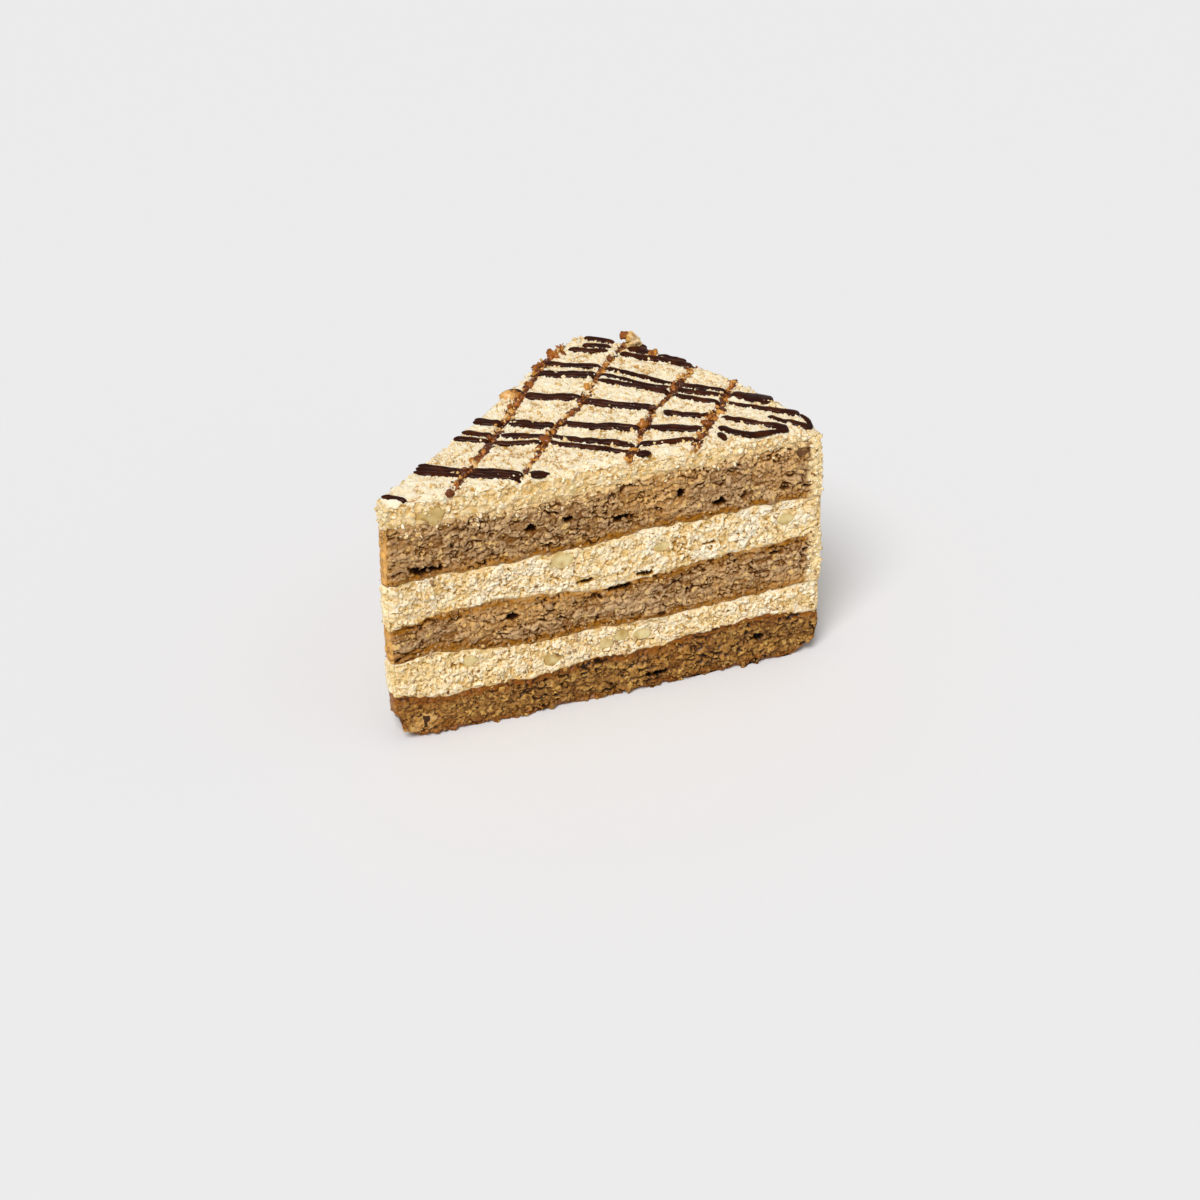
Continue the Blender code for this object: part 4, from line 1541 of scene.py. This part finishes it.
        fall = np.linspace(0, 1, self.side_rows + 1)[::-1, None]
        low = PLAN.seam(self.below, edge[:, 0], edge[:, 1])
        side_z = edge[:, 2] * (1 - fall) + low * fall
        side_x, side_y = (np.broadcast_to(edge[:, axis], side_z.shape) for axis in (0, 1))
        rising = np.stack((side_x, side_y, side_z), axis=-1)
        normals = grid_normals(rising)
        side_height, side_hollow, side_label = self.relief.heights(rising, self.seed + 100)
        normals[..., 2] = 0
        inner = ease(0.0, 0.8, side_z - low)
        push = side_height * share * inner + seam_push(rising) * (1 - inner)
        moved = rising + normals * push[..., None]
        top.reshape(-1, 3)[ring, :2] = moved[-1, :, :2]
        centre = moved[0].mean(axis=0)
        under = [centre + (moved[0] - centre) * left for left in (0.4, 0.8)]
        under = [np.column_stack((p[:, :2], PLAN.seam(self.below, p[:, 0], p[:, 1]))) for p in under]

        width = len(ring)
        body = np.concatenate((under, moved[:-1]))
        pole = x.size + len(body) * width
        rings = np.concatenate((np.arange(x.size, pole).reshape(-1, width), ring[None, :]))
        after = np.roll(rings, -1, axis=1)
        top_quads = np.stack((number[:-1, :-1], number[1:, :-1], number[1:, 1:], number[:-1, 1:]), axis=-1)
        side_quads = np.stack((rings[:-1], after[:-1], after[1:], rings[1:]), axis=-1)
        quads = np.concatenate((top_quads.reshape(-1, 4), side_quads.reshape(-1, 4)))
        fan = np.column_stack((np.full(width, pole), after[0], rings[0]))
        vertices = PLAN.settled(np.concatenate((top.reshape(-1, 3), body.reshape(-1, 3), [centre])))
        self.top_grid = vertices[: x.size].reshape(top.shape)
        cut = outline.on(Side.FRONT, Side.BACK) | (outline.corner < 4)
        self.cut_grid = vertices[x.size : -1].reshape(body.shape)[len(under) :, cut]
        self.cut_normals = normals[:-1, cut]

        near_score = bell(self.score_distance(x, y) + 0.5 * uneven, 0.6)
        near_score = near_score * DRIZZLE.dragged(*DRIZZLE.station_and_run(x, y))
        # The hollow mask is painted shade, on the top and on the sides.
        masks = {
            "lump": (label, side_label[:-1]),
            "hollow": (hollow, side_hollow[:-1] * share),
            # Painted light: the top face is paler than the sides.
            "skin": (self.painted_top_light, 0.0),
            "smear": (0.0, 0.0),
            "mould": (0.0, np.clip((1 - share) * 1.1, 0, 1)),
            "stain": (near_score, 0.0),
        }
        filled = {}
        for name, (on_top, on_side) in masks.items():
            faces = (
                np.broadcast_to(on_top, x.shape),
                np.zeros((len(under), width)),
                np.broadcast_to(on_side, moved[:-1].shape[:2]),
            )
            filled[name] = np.concatenate([face.ravel() for face in faces] + [[0.0]])
        underside = top_quads[..., 0].size + np.arange(len(under) * width)
        return Shape(vertices, quads, fan, filled, underside)

    def build(self, material: Material) -> bpy.types.Object:
        """The top cream as a piece that stands for its CAD node."""
        return make_piece(self.name, self.shape(), material, "top_cream", self.name)

    def pick(self, count: int, draw: np.random.Generator) -> tuple[Array, Array]:
        """Random places on the top face, evenly over its area, and upward normals."""
        u = np.sqrt(draw.random(count) * 0.99 + 0.01)
        rows = (u * (self.top_grid.shape[0] - 1)).astype(int)
        columns = (draw.random(count) * (self.top_grid.shape[1] - 1)).astype(int)
        return self.top_grid[rows, columns], np.tile(UP, (count, 1))

    def pick_cut(self, count: int, draw: np.random.Generator) -> tuple[Array, Array]:
        """Random places on the cream's cut faces, and their normals."""
        rows, columns = (draw.integers(0, size, count) for size in self.cut_grid.shape[:2])
        return self.cut_grid[rows, columns], self.cut_normals[rows, columns]


@dataclass
class Strands:
    """The chocolate drizzle: thin ropes, one to three side by side, set before the cake was scored."""

    top: TopCream
    sides: int = 12
    height: float = 0.5
    sink: float = 0.1
    taper: float = 1.8
    dip: float = 0.7
    dip_width: float = 0.9
    widest: float = 2.4
    pair_width: float = 2.5
    triple_width: float = 3.9
    overlap: float = 1.22
    seed: int = 300

    def rope(self, x: Array, y: Array, width: Array, seed: int) -> Shape:
        """One rope along the top: a flattened ring carried along the path, with tapered ends.

        A ring's point at angle a is half width × cos a to the side and height × sin a up, both times
        the taper sqrt(1 − (1 − d/taper)²) at a distance d from an end. It dips where it was scored.

        Args:
            x: the path's places.
            y: the path's places.
            width: the rope's width at each place.
            seed: which random fields to read.

        Returns:
            The rope's closed shape.
        """
        path = at_height(x, y)
        ground = PLAN.top(self.top.name, x, y) + self.top.broad(x, y)
        ground = ground - self.dip * bell(self.top.score_distance(x, y), self.dip_width)
        reach = np.concatenate(([0.0], np.cumsum(np.linalg.norm(np.diff(path, axis=0), axis=1))))
        from_end = np.minimum(reach, reach[-1] - reach)
        end = np.sqrt(np.clip(1 - (1 - np.clip(from_end / self.taper, 0.02, 1)) ** 2, 0, 1))
        uneven = 1 + 0.22 * waves(path, 2.2, seed) + 0.1 * waves(path, 0.8, seed + 1)
        half = 0.5 * width * uneven * end
        thick = self.height * (0.8 + 0.25 * np.minimum(width, self.widest))
        high = thick * (1 + 0.25 * waves(path, 1.7, seed + 2)) * end
        tangent = np.gradient(path, axis=0)
        tangent /= np.linalg.norm(tangent, axis=1)[:, None]
        left = at_height(-tangent[:, 1], tangent[:, 0])
        angle = 2 * math.pi * np.arange(self.sides) / self.sides
        rings = (path + UP * (ground + self.sink + 0.1)[:, None])[:, None, :]
        rings = rings + left[:, None, :] * (half[:, None] * np.cos(angle))[..., None]
        rings = rings + UP * (high[:, None] * np.sin(angle))[..., None]
        rings[..., 2] += 0.05 * waves(rings, 0.7, seed + 4) * (np.sin(angle) > -0.2)
        return closed_tube(PLAN.lean(rings), {"lump": 0.5 + 0.4 * waves(rings, 2.0, seed + 5)})

    def strand_ropes(self, cell: int, strand: tuple[float, ...], number: int) -> list[Shape]:
        """The ropes of one strand: three, two or one side by side by its width, each swaying a little.

        Args:
            cell: which gap between score lines the strand lies in.
            strand: its numbers.
            number: how many ropes were laid before.

        Returns:
            The ropes, or none where the strand is off the slice.
        """
        station, run = DRIZZLE.strand_span(cell, strand)
        if len(run) < DRIZZLE.fewest_steps:
            return []
        width = strand[2]
        count = 1 + (width >= self.pair_width) + (width >= self.triple_width)
        bow = np.sin(math.pi * (run - run[0]) / (run[-1] - run[0]))
        ropes = []
        for rope in range(count):
            number += 1
            seed = self.seed + 7 * number
            place = at_height(run, np.full(len(run), 2.3 * number))
            offset = (rope - (count - 1) / 2) * width / count * 1.05
            sway = DRIZZLE.wobble * np.sin(run / 2.6 + strand[0]) * bow + 0.22 * waves(place, 3.0, seed + 6)
            x, y = DRIZZLE.on_top(station + offset + sway, run)
            ropes.append(self.rope(x, y, np.full(len(x), self.overlap * width / count), seed))
        return ropes

    def shape(self) -> Shape:
        """All the ropes as one shape."""
        ropes = []
        for cell, strands in enumerate(DRIZZLE.strands):
            for strand in strands:
                ropes += self.strand_ropes(cell, strand, len(ropes))
        for number, path in enumerate(DRIZZLE.paths):
            ropes.append(self.rope(*DRIZZLE.along_path(path), self.seed + 900 + 7 * number))
        return together(ropes)

    def build(self, material: Material) -> bpy.types.Object:
        """The drizzle as a piece that stands for what is fused to the top cream's node."""
        return make_piece("chocolate_drizzle", self.shape(), material, "chocolate", self.top.name)


# ----- Scattered grains, crumbs and nuts -----

def icosphere(rounds: int) -> tuple[Array, Array]:
    """A ball of triangles: an icosahedron whose triangles are split in four, so many times over.

    Args:
        rounds: how often each triangle is split.

    Returns:
        The vertices on the unit ball and the triangles, facing out.
    """
    golden = (1 + math.sqrt(5)) / 2
    corners = []
    for one, two in itertools.product((-1, 1), (-golden, golden)):
        corners += [(0, one, two), (one, two, 0), (two, 0, one)]
    points = np.array(corners, float)
    apart = np.linalg.norm(points[:, None] - points, axis=-1)
    touching = [
        trio
        for trio in itertools.combinations(range(len(points)), 3)
        if all(abs(apart[pair] - 2.0) < 1e-6 for pair in itertools.combinations(trio, 2))
    ]
    faces = np.array(touching)
    for _ in range(rounds):
        a, b, c = points[faces].transpose(1, 0, 2)
        fresh = np.concatenate((points, (a + b) / 2, (b + c) / 2, (c + a) / 2))
        ab, bc, ca = len(points) + np.arange(3 * len(faces)).reshape(3, -1)
        a, b, c = faces.T
        trios = ((a, ab, ca), (ab, b, bc), (ca, bc, c), (ab, bc, ca))
        faces = np.concatenate([np.column_stack(trio) for trio in trios])
        points, points_at = np.unique(np.round(fresh, 6), axis=0, return_inverse=True)
        faces = points_at.reshape(-1)[faces]
    points = points / np.linalg.norm(points, axis=1)[:, None]
    a, b, c = points[faces].transpose(1, 0, 2)
    inward = np.einsum("ij,ij->i", np.cross(b - a, c - a), a + b + c) < 0
    faces[inward] = faces[inward][:, ::-1]
    return points, faces


def random_turns(count: int, draw: np.random.Generator) -> Array:
    """Random rotation matrices, each from a random unit quaternion.

    Args:
        count: how many.
        draw: where the random numbers come from.

    Returns:
        The matrices, (count, 3, 3).
    """
    quaternion = draw.normal(size=(count, 4))
    quaternion /= np.linalg.norm(quaternion, axis=1)[:, None]
    w, x, y, z = quaternion.T
    rows = (
        (1 - 2 * (y * y + z * z), 2 * (x * y - z * w), 2 * (x * z + y * w)),
        (2 * (x * y + z * w), 1 - 2 * (x * x + z * z), 2 * (y * z - x * w)),
        (2 * (x * z - y * w), 2 * (y * z + x * w), 1 - 2 * (x * x + y * y)),
    )
    return np.stack([np.stack(row, axis=-1) for row in rows], axis=1)


@dataclass
class Scatter:
    """Many small uneven grains of one kind, each a dented ball of triangles at its own place and turn."""

    name: str
    slot: str
    nodes: tuple[str, ...]
    places: Array
    sizes: Array
    tones: Array
    seed: int
    rounds: int = 0
    dent: float = 0.45
    extra_masks: tuple[str, ...] = FOOD_MASKS

    def shape(self) -> Shape:
        """The grains as one shape: ball × (1 + dent × random) × size, turned at random, at its place."""
        draw = np.random.default_rng(self.seed)
        ball, faces = icosphere(self.rounds)
        count = len(self.places)
        dents = 1 + self.dent * draw.uniform(-1, 1, (count, len(ball), 1))
        bodies = ball * dents * self.sizes[:, None, :]
        bodies = np.einsum("nij,nkj->nki", random_turns(count, draw), bodies) + self.places[:, None, :]
        numbers = faces[None] + len(ball) * np.arange(count)[:, None, None]
        masks = {name: np.zeros(count * len(ball)) for name in self.extra_masks}
        masks["lump"] = np.repeat(np.clip(self.tones, 0, 1), len(ball))
        vertices = bodies.reshape(-1, 3)
        vertices[:, 2] = np.maximum(vertices[:, 2], 0.0)
        return Shape(vertices, NO_QUADS, numbers.reshape(-1, 3), masks)

    def build(self, material: Material) -> bpy.types.Object:
        """The grains as one piece."""
        return make_piece(self.name, self.shape(), material, self.slot, *self.nodes)


@dataclass(frozen=True)
class GrainSize:
    """How large grains of a kind are, how uneven, and how far out of the face they are set."""

    usual: float
    spread: float
    out: tuple[float, float]
    uneven: tuple[float, float]
    largest: float = math.inf

    def set_out(self, where: Array, ways: Array, draw: np.random.Generator) -> tuple[Array, Array]:
        """Draws grain sizes about the usual one, and moves places out by shares of them.

        Args:
            where: places on a face.
            ways: the ways out of the face.
            draw: where the random numbers come from.

        Returns:
            The moved places and the grains' three half sizes.
        """
        size = np.minimum(draw.lognormal(math.log(self.usual), self.spread, len(where)), self.largest)
        where = where + ways * (size * draw.uniform(*self.out, len(where)))[:, None]
        return where, size[:, None] * draw.uniform(*self.uneven, (len(where), 3))


def clear_of_nuts(places: Array) -> Array:
    """Which places aren't on one of the larger nut pieces."""
    clear = np.ones(len(places), bool)
    for nut in NUTS:
        centre = PLAN.settled(PLAN.spot(nut.side, nut.along, nut.height)[0][None])[0]
        flat = np.hypot(*(places - centre)[:, :2].T) / nut.half_width
        clear &= np.hypot(flat, (places[:, 2] - centre[2]) / nut.half_height) > 0.95
    return clear


def cream_grains(creams: list[Layer], sponges: list[Layer], top: TopCream) -> Scatter:
    """Grains of ground nut that stand out of the cream, on its cuts, its top and the iced rim.

    Args:
        creams: the two fillings.
        sponges: the two upper sponges, whose rim is iced and whose top edge has cream dragged over it.
        top: the cream on top.

    Returns:
        The grains.
    """
    draw = np.random.default_rng(41)
    picked = [layer.pick(count, draw) for layer, count in zip(creams, (1000, 1150))]
    picked += [layer.pick_iced(300, draw) for layer in sponges]
    picked += [top.pick(3300, draw), top.pick_cut(1300, draw), sponges[-1].pick(320, draw, 0.8)]
    where, ways = (np.concatenate(parts) for parts in zip(*picked))
    bare = clear_of_nuts(where)
    grain = GrainSize(0.28, 0.42, (-0.5, 0.2), (0.5, 1.6), 0.55)
    where, sizes = grain.set_out(where[bare], ways[bare], draw)
    tones = draw.normal(0.7, 0.28, len(where))
    nodes = tuple(layer.name for layer in creams + sponges) + (top.name,)
    return Scatter("cream_grains", "nut_cream", nodes, where, sizes, tones, 42)


def sponge_crumbs(layers: list[Layer]) -> Scatter:
    """Crumbs of sponge that the knife left standing on the cut faces, the palest also standing in for small
    glints as a painted highlight.
    """
    draw = np.random.default_rng(51)
    picked = [layer.pick(count, draw) for layer, count in zip(layers, (1300, 1700, 160, 160))]
    where, ways = (np.concatenate(parts) for parts in zip(*picked))
    where, sizes = GrainSize(0.27, 0.4, (-0.6, 0.1), (0.4, 1.7)).set_out(where, ways, draw)
    # A fifth are pale: golden crumbs, which also stand in for small glints as a painted highlight.
    tones = np.where(draw.random(len(where)) < 0.22, 0.9, draw.normal(0.5, 0.2, len(where)))
    nodes = tuple(layer.name for layer in layers)
    return Scatter("sponge_crumbs", "nut_sponge", nodes, where, sizes, tones, 52)


def base_bits(base: Layer) -> Scatter:
    """Golden bits of nut and syrup on the base, thickest along its lower edge; the lightest also stand in
    for oily glints as a painted highlight.

    Args:
        base: the layer that they lie on.

    Returns:
        The bits.
    """
    draw = np.random.default_rng(55)
    spots, ways = base.pick(600, draw)
    low_spots, low_ways = base.pick(2600, draw)
    low = low_spots[:, 2] < draw.exponential(1.3, len(low_spots))
    where, ways = np.concatenate((spots, low_spots[low])), np.concatenate((ways, low_ways[low]))
    where, sizes = GrainSize(0.32, 0.4, (-0.5, 0.4), (0.4, 1.6), 0.6).set_out(where, ways, draw)
    # A quarter are much lighter: golden syrup bits, which also stand in for oily glints as a painted
    # highlight.
    tones = draw.normal(0.45, 0.15, len(where)) + 0.55 * (draw.random(len(where)) < 0.25)
    return Scatter("base_bits", "base_sponge", (base.name,), where, sizes, tones, 56, 1, 0.4)


def score_crust(top: TopCream, flakes: int = 1360) -> Scatter:
    """Torn flakes of caramel along the score lines, dark where the knife dragged chocolate along.

    Args:
        top: the cream that they lie on.
        flakes: how many are drawn for each score line, before those off the slice are left out.

    Returns:
        The flakes, with those of the torn crust beside the back cut.
    """
    draw = np.random.default_rng(61)
    sine, cosine = math.sin(PLAN.half_angle), math.cos(PLAN.half_angle)
    long_at_back = np.array(((cosine, sine), (-0.35 * sine, 0.35 * cosine)))
    places, tones = [], []
    for number in range(len(DRIZZLE.score_runs)):
        station = draw.uniform(-2, 108, flakes)
        spread = 0.42 * (1 + 0.6 * waves(at_height(station, np.full(flakes, 9.0 * number)), 4.0, 67))
        run = DRIZZLE.score_run(number, station) + draw.normal(0, 1, flakes) * spread
        x, y = DRIZZLE.on_top(station, run)
        stuck = draw.random(flakes) < 0.12 + 0.88 * DRIZZLE.dragged(station, run)
        inside = stuck & (PLAN.depth(x, y) > 0.1)
        x, y, station, run = (values[inside] for values in (x, y, station, run))
        z = top.surface_height(x, y) + draw.uniform(-0.1, 0.6, len(x))
        places.append(np.column_stack((x, y, z)))
        patch = waves(at_height(station, run), 2.2, 66)
        crossed = bell(station[:, None] - DRIZZLE.crossings(number), 1.2).max(axis=1)
        tones.append(0.47 + 0.2 * patch - 0.4 * crossed + draw.uniform(-0.62, 0.62, len(x)))
    for x, y, reach in DRIZZLE.edge_crust:
        spots = np.array((x, y)) + draw.normal(0, 1, (int(60 * reach), 2)) @ (reach * long_at_back)
        spots = spots[PLAN.depth(*spots.T) > -0.3]
        z = top.surface_height(*spots.T) + draw.uniform(-0.4, 0.5, len(spots))
        places.append(np.column_stack((spots, z)))
        tones.append(draw.normal(0.58, 0.2, len(spots)))
    where = PLAN.lean(np.concatenate(places))
    size = draw.lognormal(math.log(0.28), 0.45, len(where))
    sizes = size[:, None] * draw.uniform(0.3, 2.1, (len(where), 3))
    tones = np.concatenate(tones)
    return Scatter("score_crust", "scored_crust", (top.name,), where, sizes, tones, 62, 1, 0.35, ())


def nut_skins(layers: list[Layer]) -> Scatter:
    """Dark scraps of nut skin in the cream: thin flakes, and a few larger curls.

    Args:
        layers: the two fillings that they are in.

    Returns:
        The scraps.
    """
    draw = np.random.default_rng(81)
    picked = [layer.pick(count, draw) for layer, count in zip(layers, (120, 130))]
    where, ways = (np.concatenate(parts) for parts in zip(*picked))
    size = draw.lognormal(math.log(0.22), 0.35, len(where))
    sizes = size[:, None] * draw.uniform((1.0, 0.6, 0.3), (1.8, 1.3, 0.7), (len(where), 3))
    tones = draw.normal(0.18, 0.12, len(where))
    nodes = tuple(layer.name for layer in layers)
    return Scatter("nut_skins", "nut_piece", nodes, where - 0.06 * ways, sizes, tones, 82, 1, 0.3, ())


def lump(
    half: tuple[float, float, float], ragged: float, seed: int, rounds: int = 3
) -> tuple[Array, Array, Array]:
    """An uneven lump: a ball × half sizes × (1 + ragged × waves over the unit ball).

    Args:
        half: its half sizes.
        ragged: how uneven it is.
        seed: which random field to read.
        rounds: how finely the ball is split.

    Returns:
        The vertices about the lump's middle, the triangles, and the unit ball's own vertices.
    """
    ball, faces = icosphere(rounds)
    uneven = 1 + ragged * waves(ball, 0.9, seed) + 0.5 * ragged * waves(ball, 0.4, seed + 1)
    return ball * uneven[:, None] * np.asarray(half), faces, ball


def nut_pieces() -> Shape:
    """The cut nut pieces as one shape: low lumps set flush in the sides."""
    pieces = []
    for number, nut in enumerate(NUTS):
        half = (1.25 * nut.half_width, 1.25 * nut.half_height, 0.6)
        body, faces, ball = lump(half, 0.32, 500 + 3 * number)
        place, along, out = PLAN.spot(nut.side, nut.along, nut.height)
        outward = np.minimum(body[:, 2:], 0.3) - 0.45 + nut.stands
        turned = place + body[:, :1] * along + body[:, 1:2] * UP + outward * out
        border = ease(0.62, 0.9, np.hypot(ball[:, 0], ball[:, 1]))
        tone = np.clip(nut.tone + 0.3 * waves(turned, 1.2, 90) - 0.15 * border, 0, 1)
        pieces.append(Shape(PLAN.settled(turned), NO_QUADS, faces, {"lump": tone}))
    return together(pieces)


def crust_flake() -> Shape:
    """The golden flake baked onto the foot of the base at the tip, paler towards its outer edge."""
    body, faces, ball = lump((4.0, 2.6, 0.8), 0.3, 611, 4)
    place, along, out = PLAN.spot(Side.FRONT, 5.6, 4.6)
    up = np.array((0.25, 0.1, 0.96))
    body = body + ball * (0.4 * waves(body, 1.1, 613) + 0.2 * waves(body, 0.5, 614))[:, None]
    turned = place + body[:, :1] * along + body[:, 1:2] * up + (body[:, 2:] - 0.25) * out
    masks = {name: np.zeros(len(turned)) for name in FOOD_MASKS}
    masks["lump"] = np.clip(0.75 + 0.4 * waves(turned, 1.2, 612), 0, 1)
    masks["smear"] = np.clip(0.4 + 0.4 * ball[:, 0], 0, 1)
    masks["hollow"] = 0.7 * ease(0.1, 0.45, waves(turned, 0.9, 615))
    return Shape(turned, NO_QUADS, faces, masks)


def rim_curl(top: TopCream) -> Shape:
    """The curl of cream that stands at the rim: a low body, a crest and a browned crust beside it.

    Args:
        top: the cream that it stands on.

    Returns:
        The curl's lumps as one shape.
    """
    x, y = DRIZZLE.on_top(np.array([96.4]), np.array([33.0]))
    foot = np.array((x[0], y[0], float(PLAN.top(top.name, x, y)[0])))
    lumps = (
        ((0.7, -0.7, 0.9), (2.0, 1.9, 1.7), 0.0),
        ((0.1, -0.1, 2.5), (1.5, 1.4, 1.3), 0.15),
        ((-1.1, 1.1, 3.2), (1.3, 1.3, 0.9), 1.0),
    )
    parts = []
    for number, (shift, half, browned) in enumerate(lumps):
        body, faces, ball = lump(half, 0.3, 621 + 10 * number, 4)
        fine = 0.28 * waves(body, 0.9, 623 + number) + 0.16 * waves(body, 0.45, 624 + number)
        body = body + ball * fine[:, None] + foot + np.array(shift)
        masks = {name: np.zeros(len(body)) for name in FOOD_MASKS}
        masks["lump"] = 0.5 + 0.5 * waves(body, 0.6, 626)
        # Painted shade in the curl's dips.
        masks["hollow"] = 0.6 * ease(0.05, 0.4, -fine)
        masks["stain"] = np.clip(browned + 0.5 * ease(0.2, 0.6, waves(body, 1.1, 625)), 0, 1)
        masks["smear"] = ease(-0.2, 0.5, waves(body, 1.6, 627))
        parts.append(Shape(PLAN.lean(body), NO_QUADS, faces, masks))
    return together(parts)


# ----- Light, floor and camera -----

@dataclass(frozen=True)
class Studio:
    """A pale floor under a bright even sky, with one large soft light from above on the left."""

    floor_size: float = 8.0
    floor_colour: str = "#e6e5e5"
    sky_colour: str = "#f4f5f7"
    sky_strength: float = 0.44
    key_strength: float = 2.8
    key_spread: float = math.radians(28)
    key_from: tuple[float, float, float] = (-0.72, -0.42, 0.95)
    camera_at: tuple[float, float, float] = (-0.3632, -0.3921, 0.3143)
    camera_heading: tuple[float, float] = (0.6928, 0.7212)
    camera_pitch: float = math.radians(-29.131)
    lens: float = 75.0
    sensor: float = 36.0

    def floor(self) -> None:
        """The floor, which isn't part of the slice."""
        mesh = bpy.data.meshes.new("floor")
        half = self.floor_size / 2
        corners = [(-half, -half, 0), (half, -half, 0), (half, half, 0), (-half, half, 0)]
        mesh.from_pydata(corners, [], [(0, 1, 2, 3)])
        material = bpy.data.materials.new("pale_floor")
        material.use_nodes = True
        skin = material.node_tree.nodes["Principled BSDF"]
        skin.inputs["Base Color"].default_value = linear(self.floor_colour)
        skin.inputs["Roughness"].default_value = 0.9
        skin.inputs["Specular IOR Level"].default_value = 0.1
        mesh.materials.append(material)
        add_object("floor", mesh)

    def light(self) -> None:
        """The sky, and the key: parallel light with a wide spread, as from a large soft box far away."""
        world = bpy.data.worlds.new("sky")
        world.use_nodes = True
        sky = world.node_tree.nodes["Background"]
        sky.inputs["Color"].default_value = linear(self.sky_colour)
        sky.inputs["Strength"].default_value = self.sky_strength
        bpy.context.scene.world = world
        lamp = bpy.data.lights.new("key", "SUN")
        lamp.energy = self.key_strength
        lamp.angle = self.key_spread
        x, y, z = self.key_from
        pan = math.atan2(-y, -x) - math.pi / 2
        tilt = math.pi / 2 - math.atan2(z, math.hypot(x, y))
        add_object("key", lamp).rotation_euler = (tilt, 0.0, pan)

    def camera(self) -> None:
        """The camera, which stands where the photograph's did."""
        lens = bpy.data.cameras.new("camera")
        lens.lens = self.lens
        lens.sensor_width = self.sensor
        lens.clip_start = 0.01
        camera = add_object("camera", lens)
        camera.location = self.camera_at
        heading = math.atan2(self.camera_heading[1], self.camera_heading[0]) - math.pi / 2
        camera.rotation_euler = (math.pi / 2 + self.camera_pitch, 0.0, heading)
        bpy.context.scene.camera = camera

    def build(self) -> None:
        """The floor, the lights and the camera, with colours shown as they are."""
        self.floor()
        self.light()
        self.camera()
        bpy.context.scene.view_settings.view_transform = "Standard"


def make_layers() -> dict[str, Layer]:
    """The five layers under the top cream, by name, from the base up."""
    cream = {
        "relief": CREAM_RELIEF, "slot": "nut_cream", "smooth_share": 0.8, "edge_light": 1.0,
        "mould_share": 0.45, "rim_share": 0.25,
    }
    sponge = {"relief": SPONGE_RELIEF, "slot": "nut_sponge", "skin_low": 1.25, "smooth_share": 0.35}
    layers = (
        Layer(
            "base_sponge", BASE_RELIEF, "base_sponge", 100, cell=0.27, skin_low=1.2, skin_high=1.3,
            smooth_share=0.3, edge_lift=1.1, smear_low=(0.0, 1.0), smear_high=(0.0, 1.0),
        ),
        Layer("lower_cream", seed=200, white_share=0.6, **cream),
        Layer(
            "middle_sponge", seed=300, skin_high=1.25, skin_thickness=2.7, ice_width=2.6, tip_darkening=0.4,
            **sponge,
        ),
        Layer("upper_cream", seed=400, white_share=0.85, **cream),
        Layer(
            "top_sponge", seed=500, skin_high=0.2, skin_thickness=2.9, smear_high=(0.55, 2.0),
            ice_width=2.9, tip_darkening=0.2, **sponge,
        ),
    )
    return {layer.name: layer for layer in layers}


def main() -> None:
    """Builds the slice from its base up, then its topping, its grains and the studio."""
    logging.basicConfig(level=logging.INFO, format="%(message)s")
    sponge, base, cream = NUT_SPONGE.build(), BASE_SPONGE.build(), NUT_CREAM.build()
    finishes = {"base_sponge": base, "nut_sponge": sponge, "nut_cream": cream}
    layers = make_layers()
    for layer in layers.values():
        layer.build(finishes[layer.slot])
    top = TopCream()
    top.build(cream)
    Strands(top).build(CHOCOLATE.build())
    score_crust(top).build(CARAMEL.build())
    creams = [layers["lower_cream"], layers["upper_cream"]]
    sponges = [layers["middle_sponge"], layers["top_sponge"]]
    cream_grains(creams, sponges, top).build(cream)
    sponge_crumbs(sponges + creams).build(sponge)
    base_bits(layers["base_sponge"]).build(base)
    nut = WALNUT.build()
    nut_skins(creams).build(nut)
    make_piece("nut_pieces", nut_pieces(), nut, "nut_piece", "lower_cream", "upper_cream", "top_cream")
    make_piece("crust_flake", crust_flake(), base, "base_sponge", "base_sponge")
    make_piece("rim_curl", rim_curl(top), cream, "nut_cream", "top_cream")
    Studio().build()


if __name__ == "__main__":
    main()
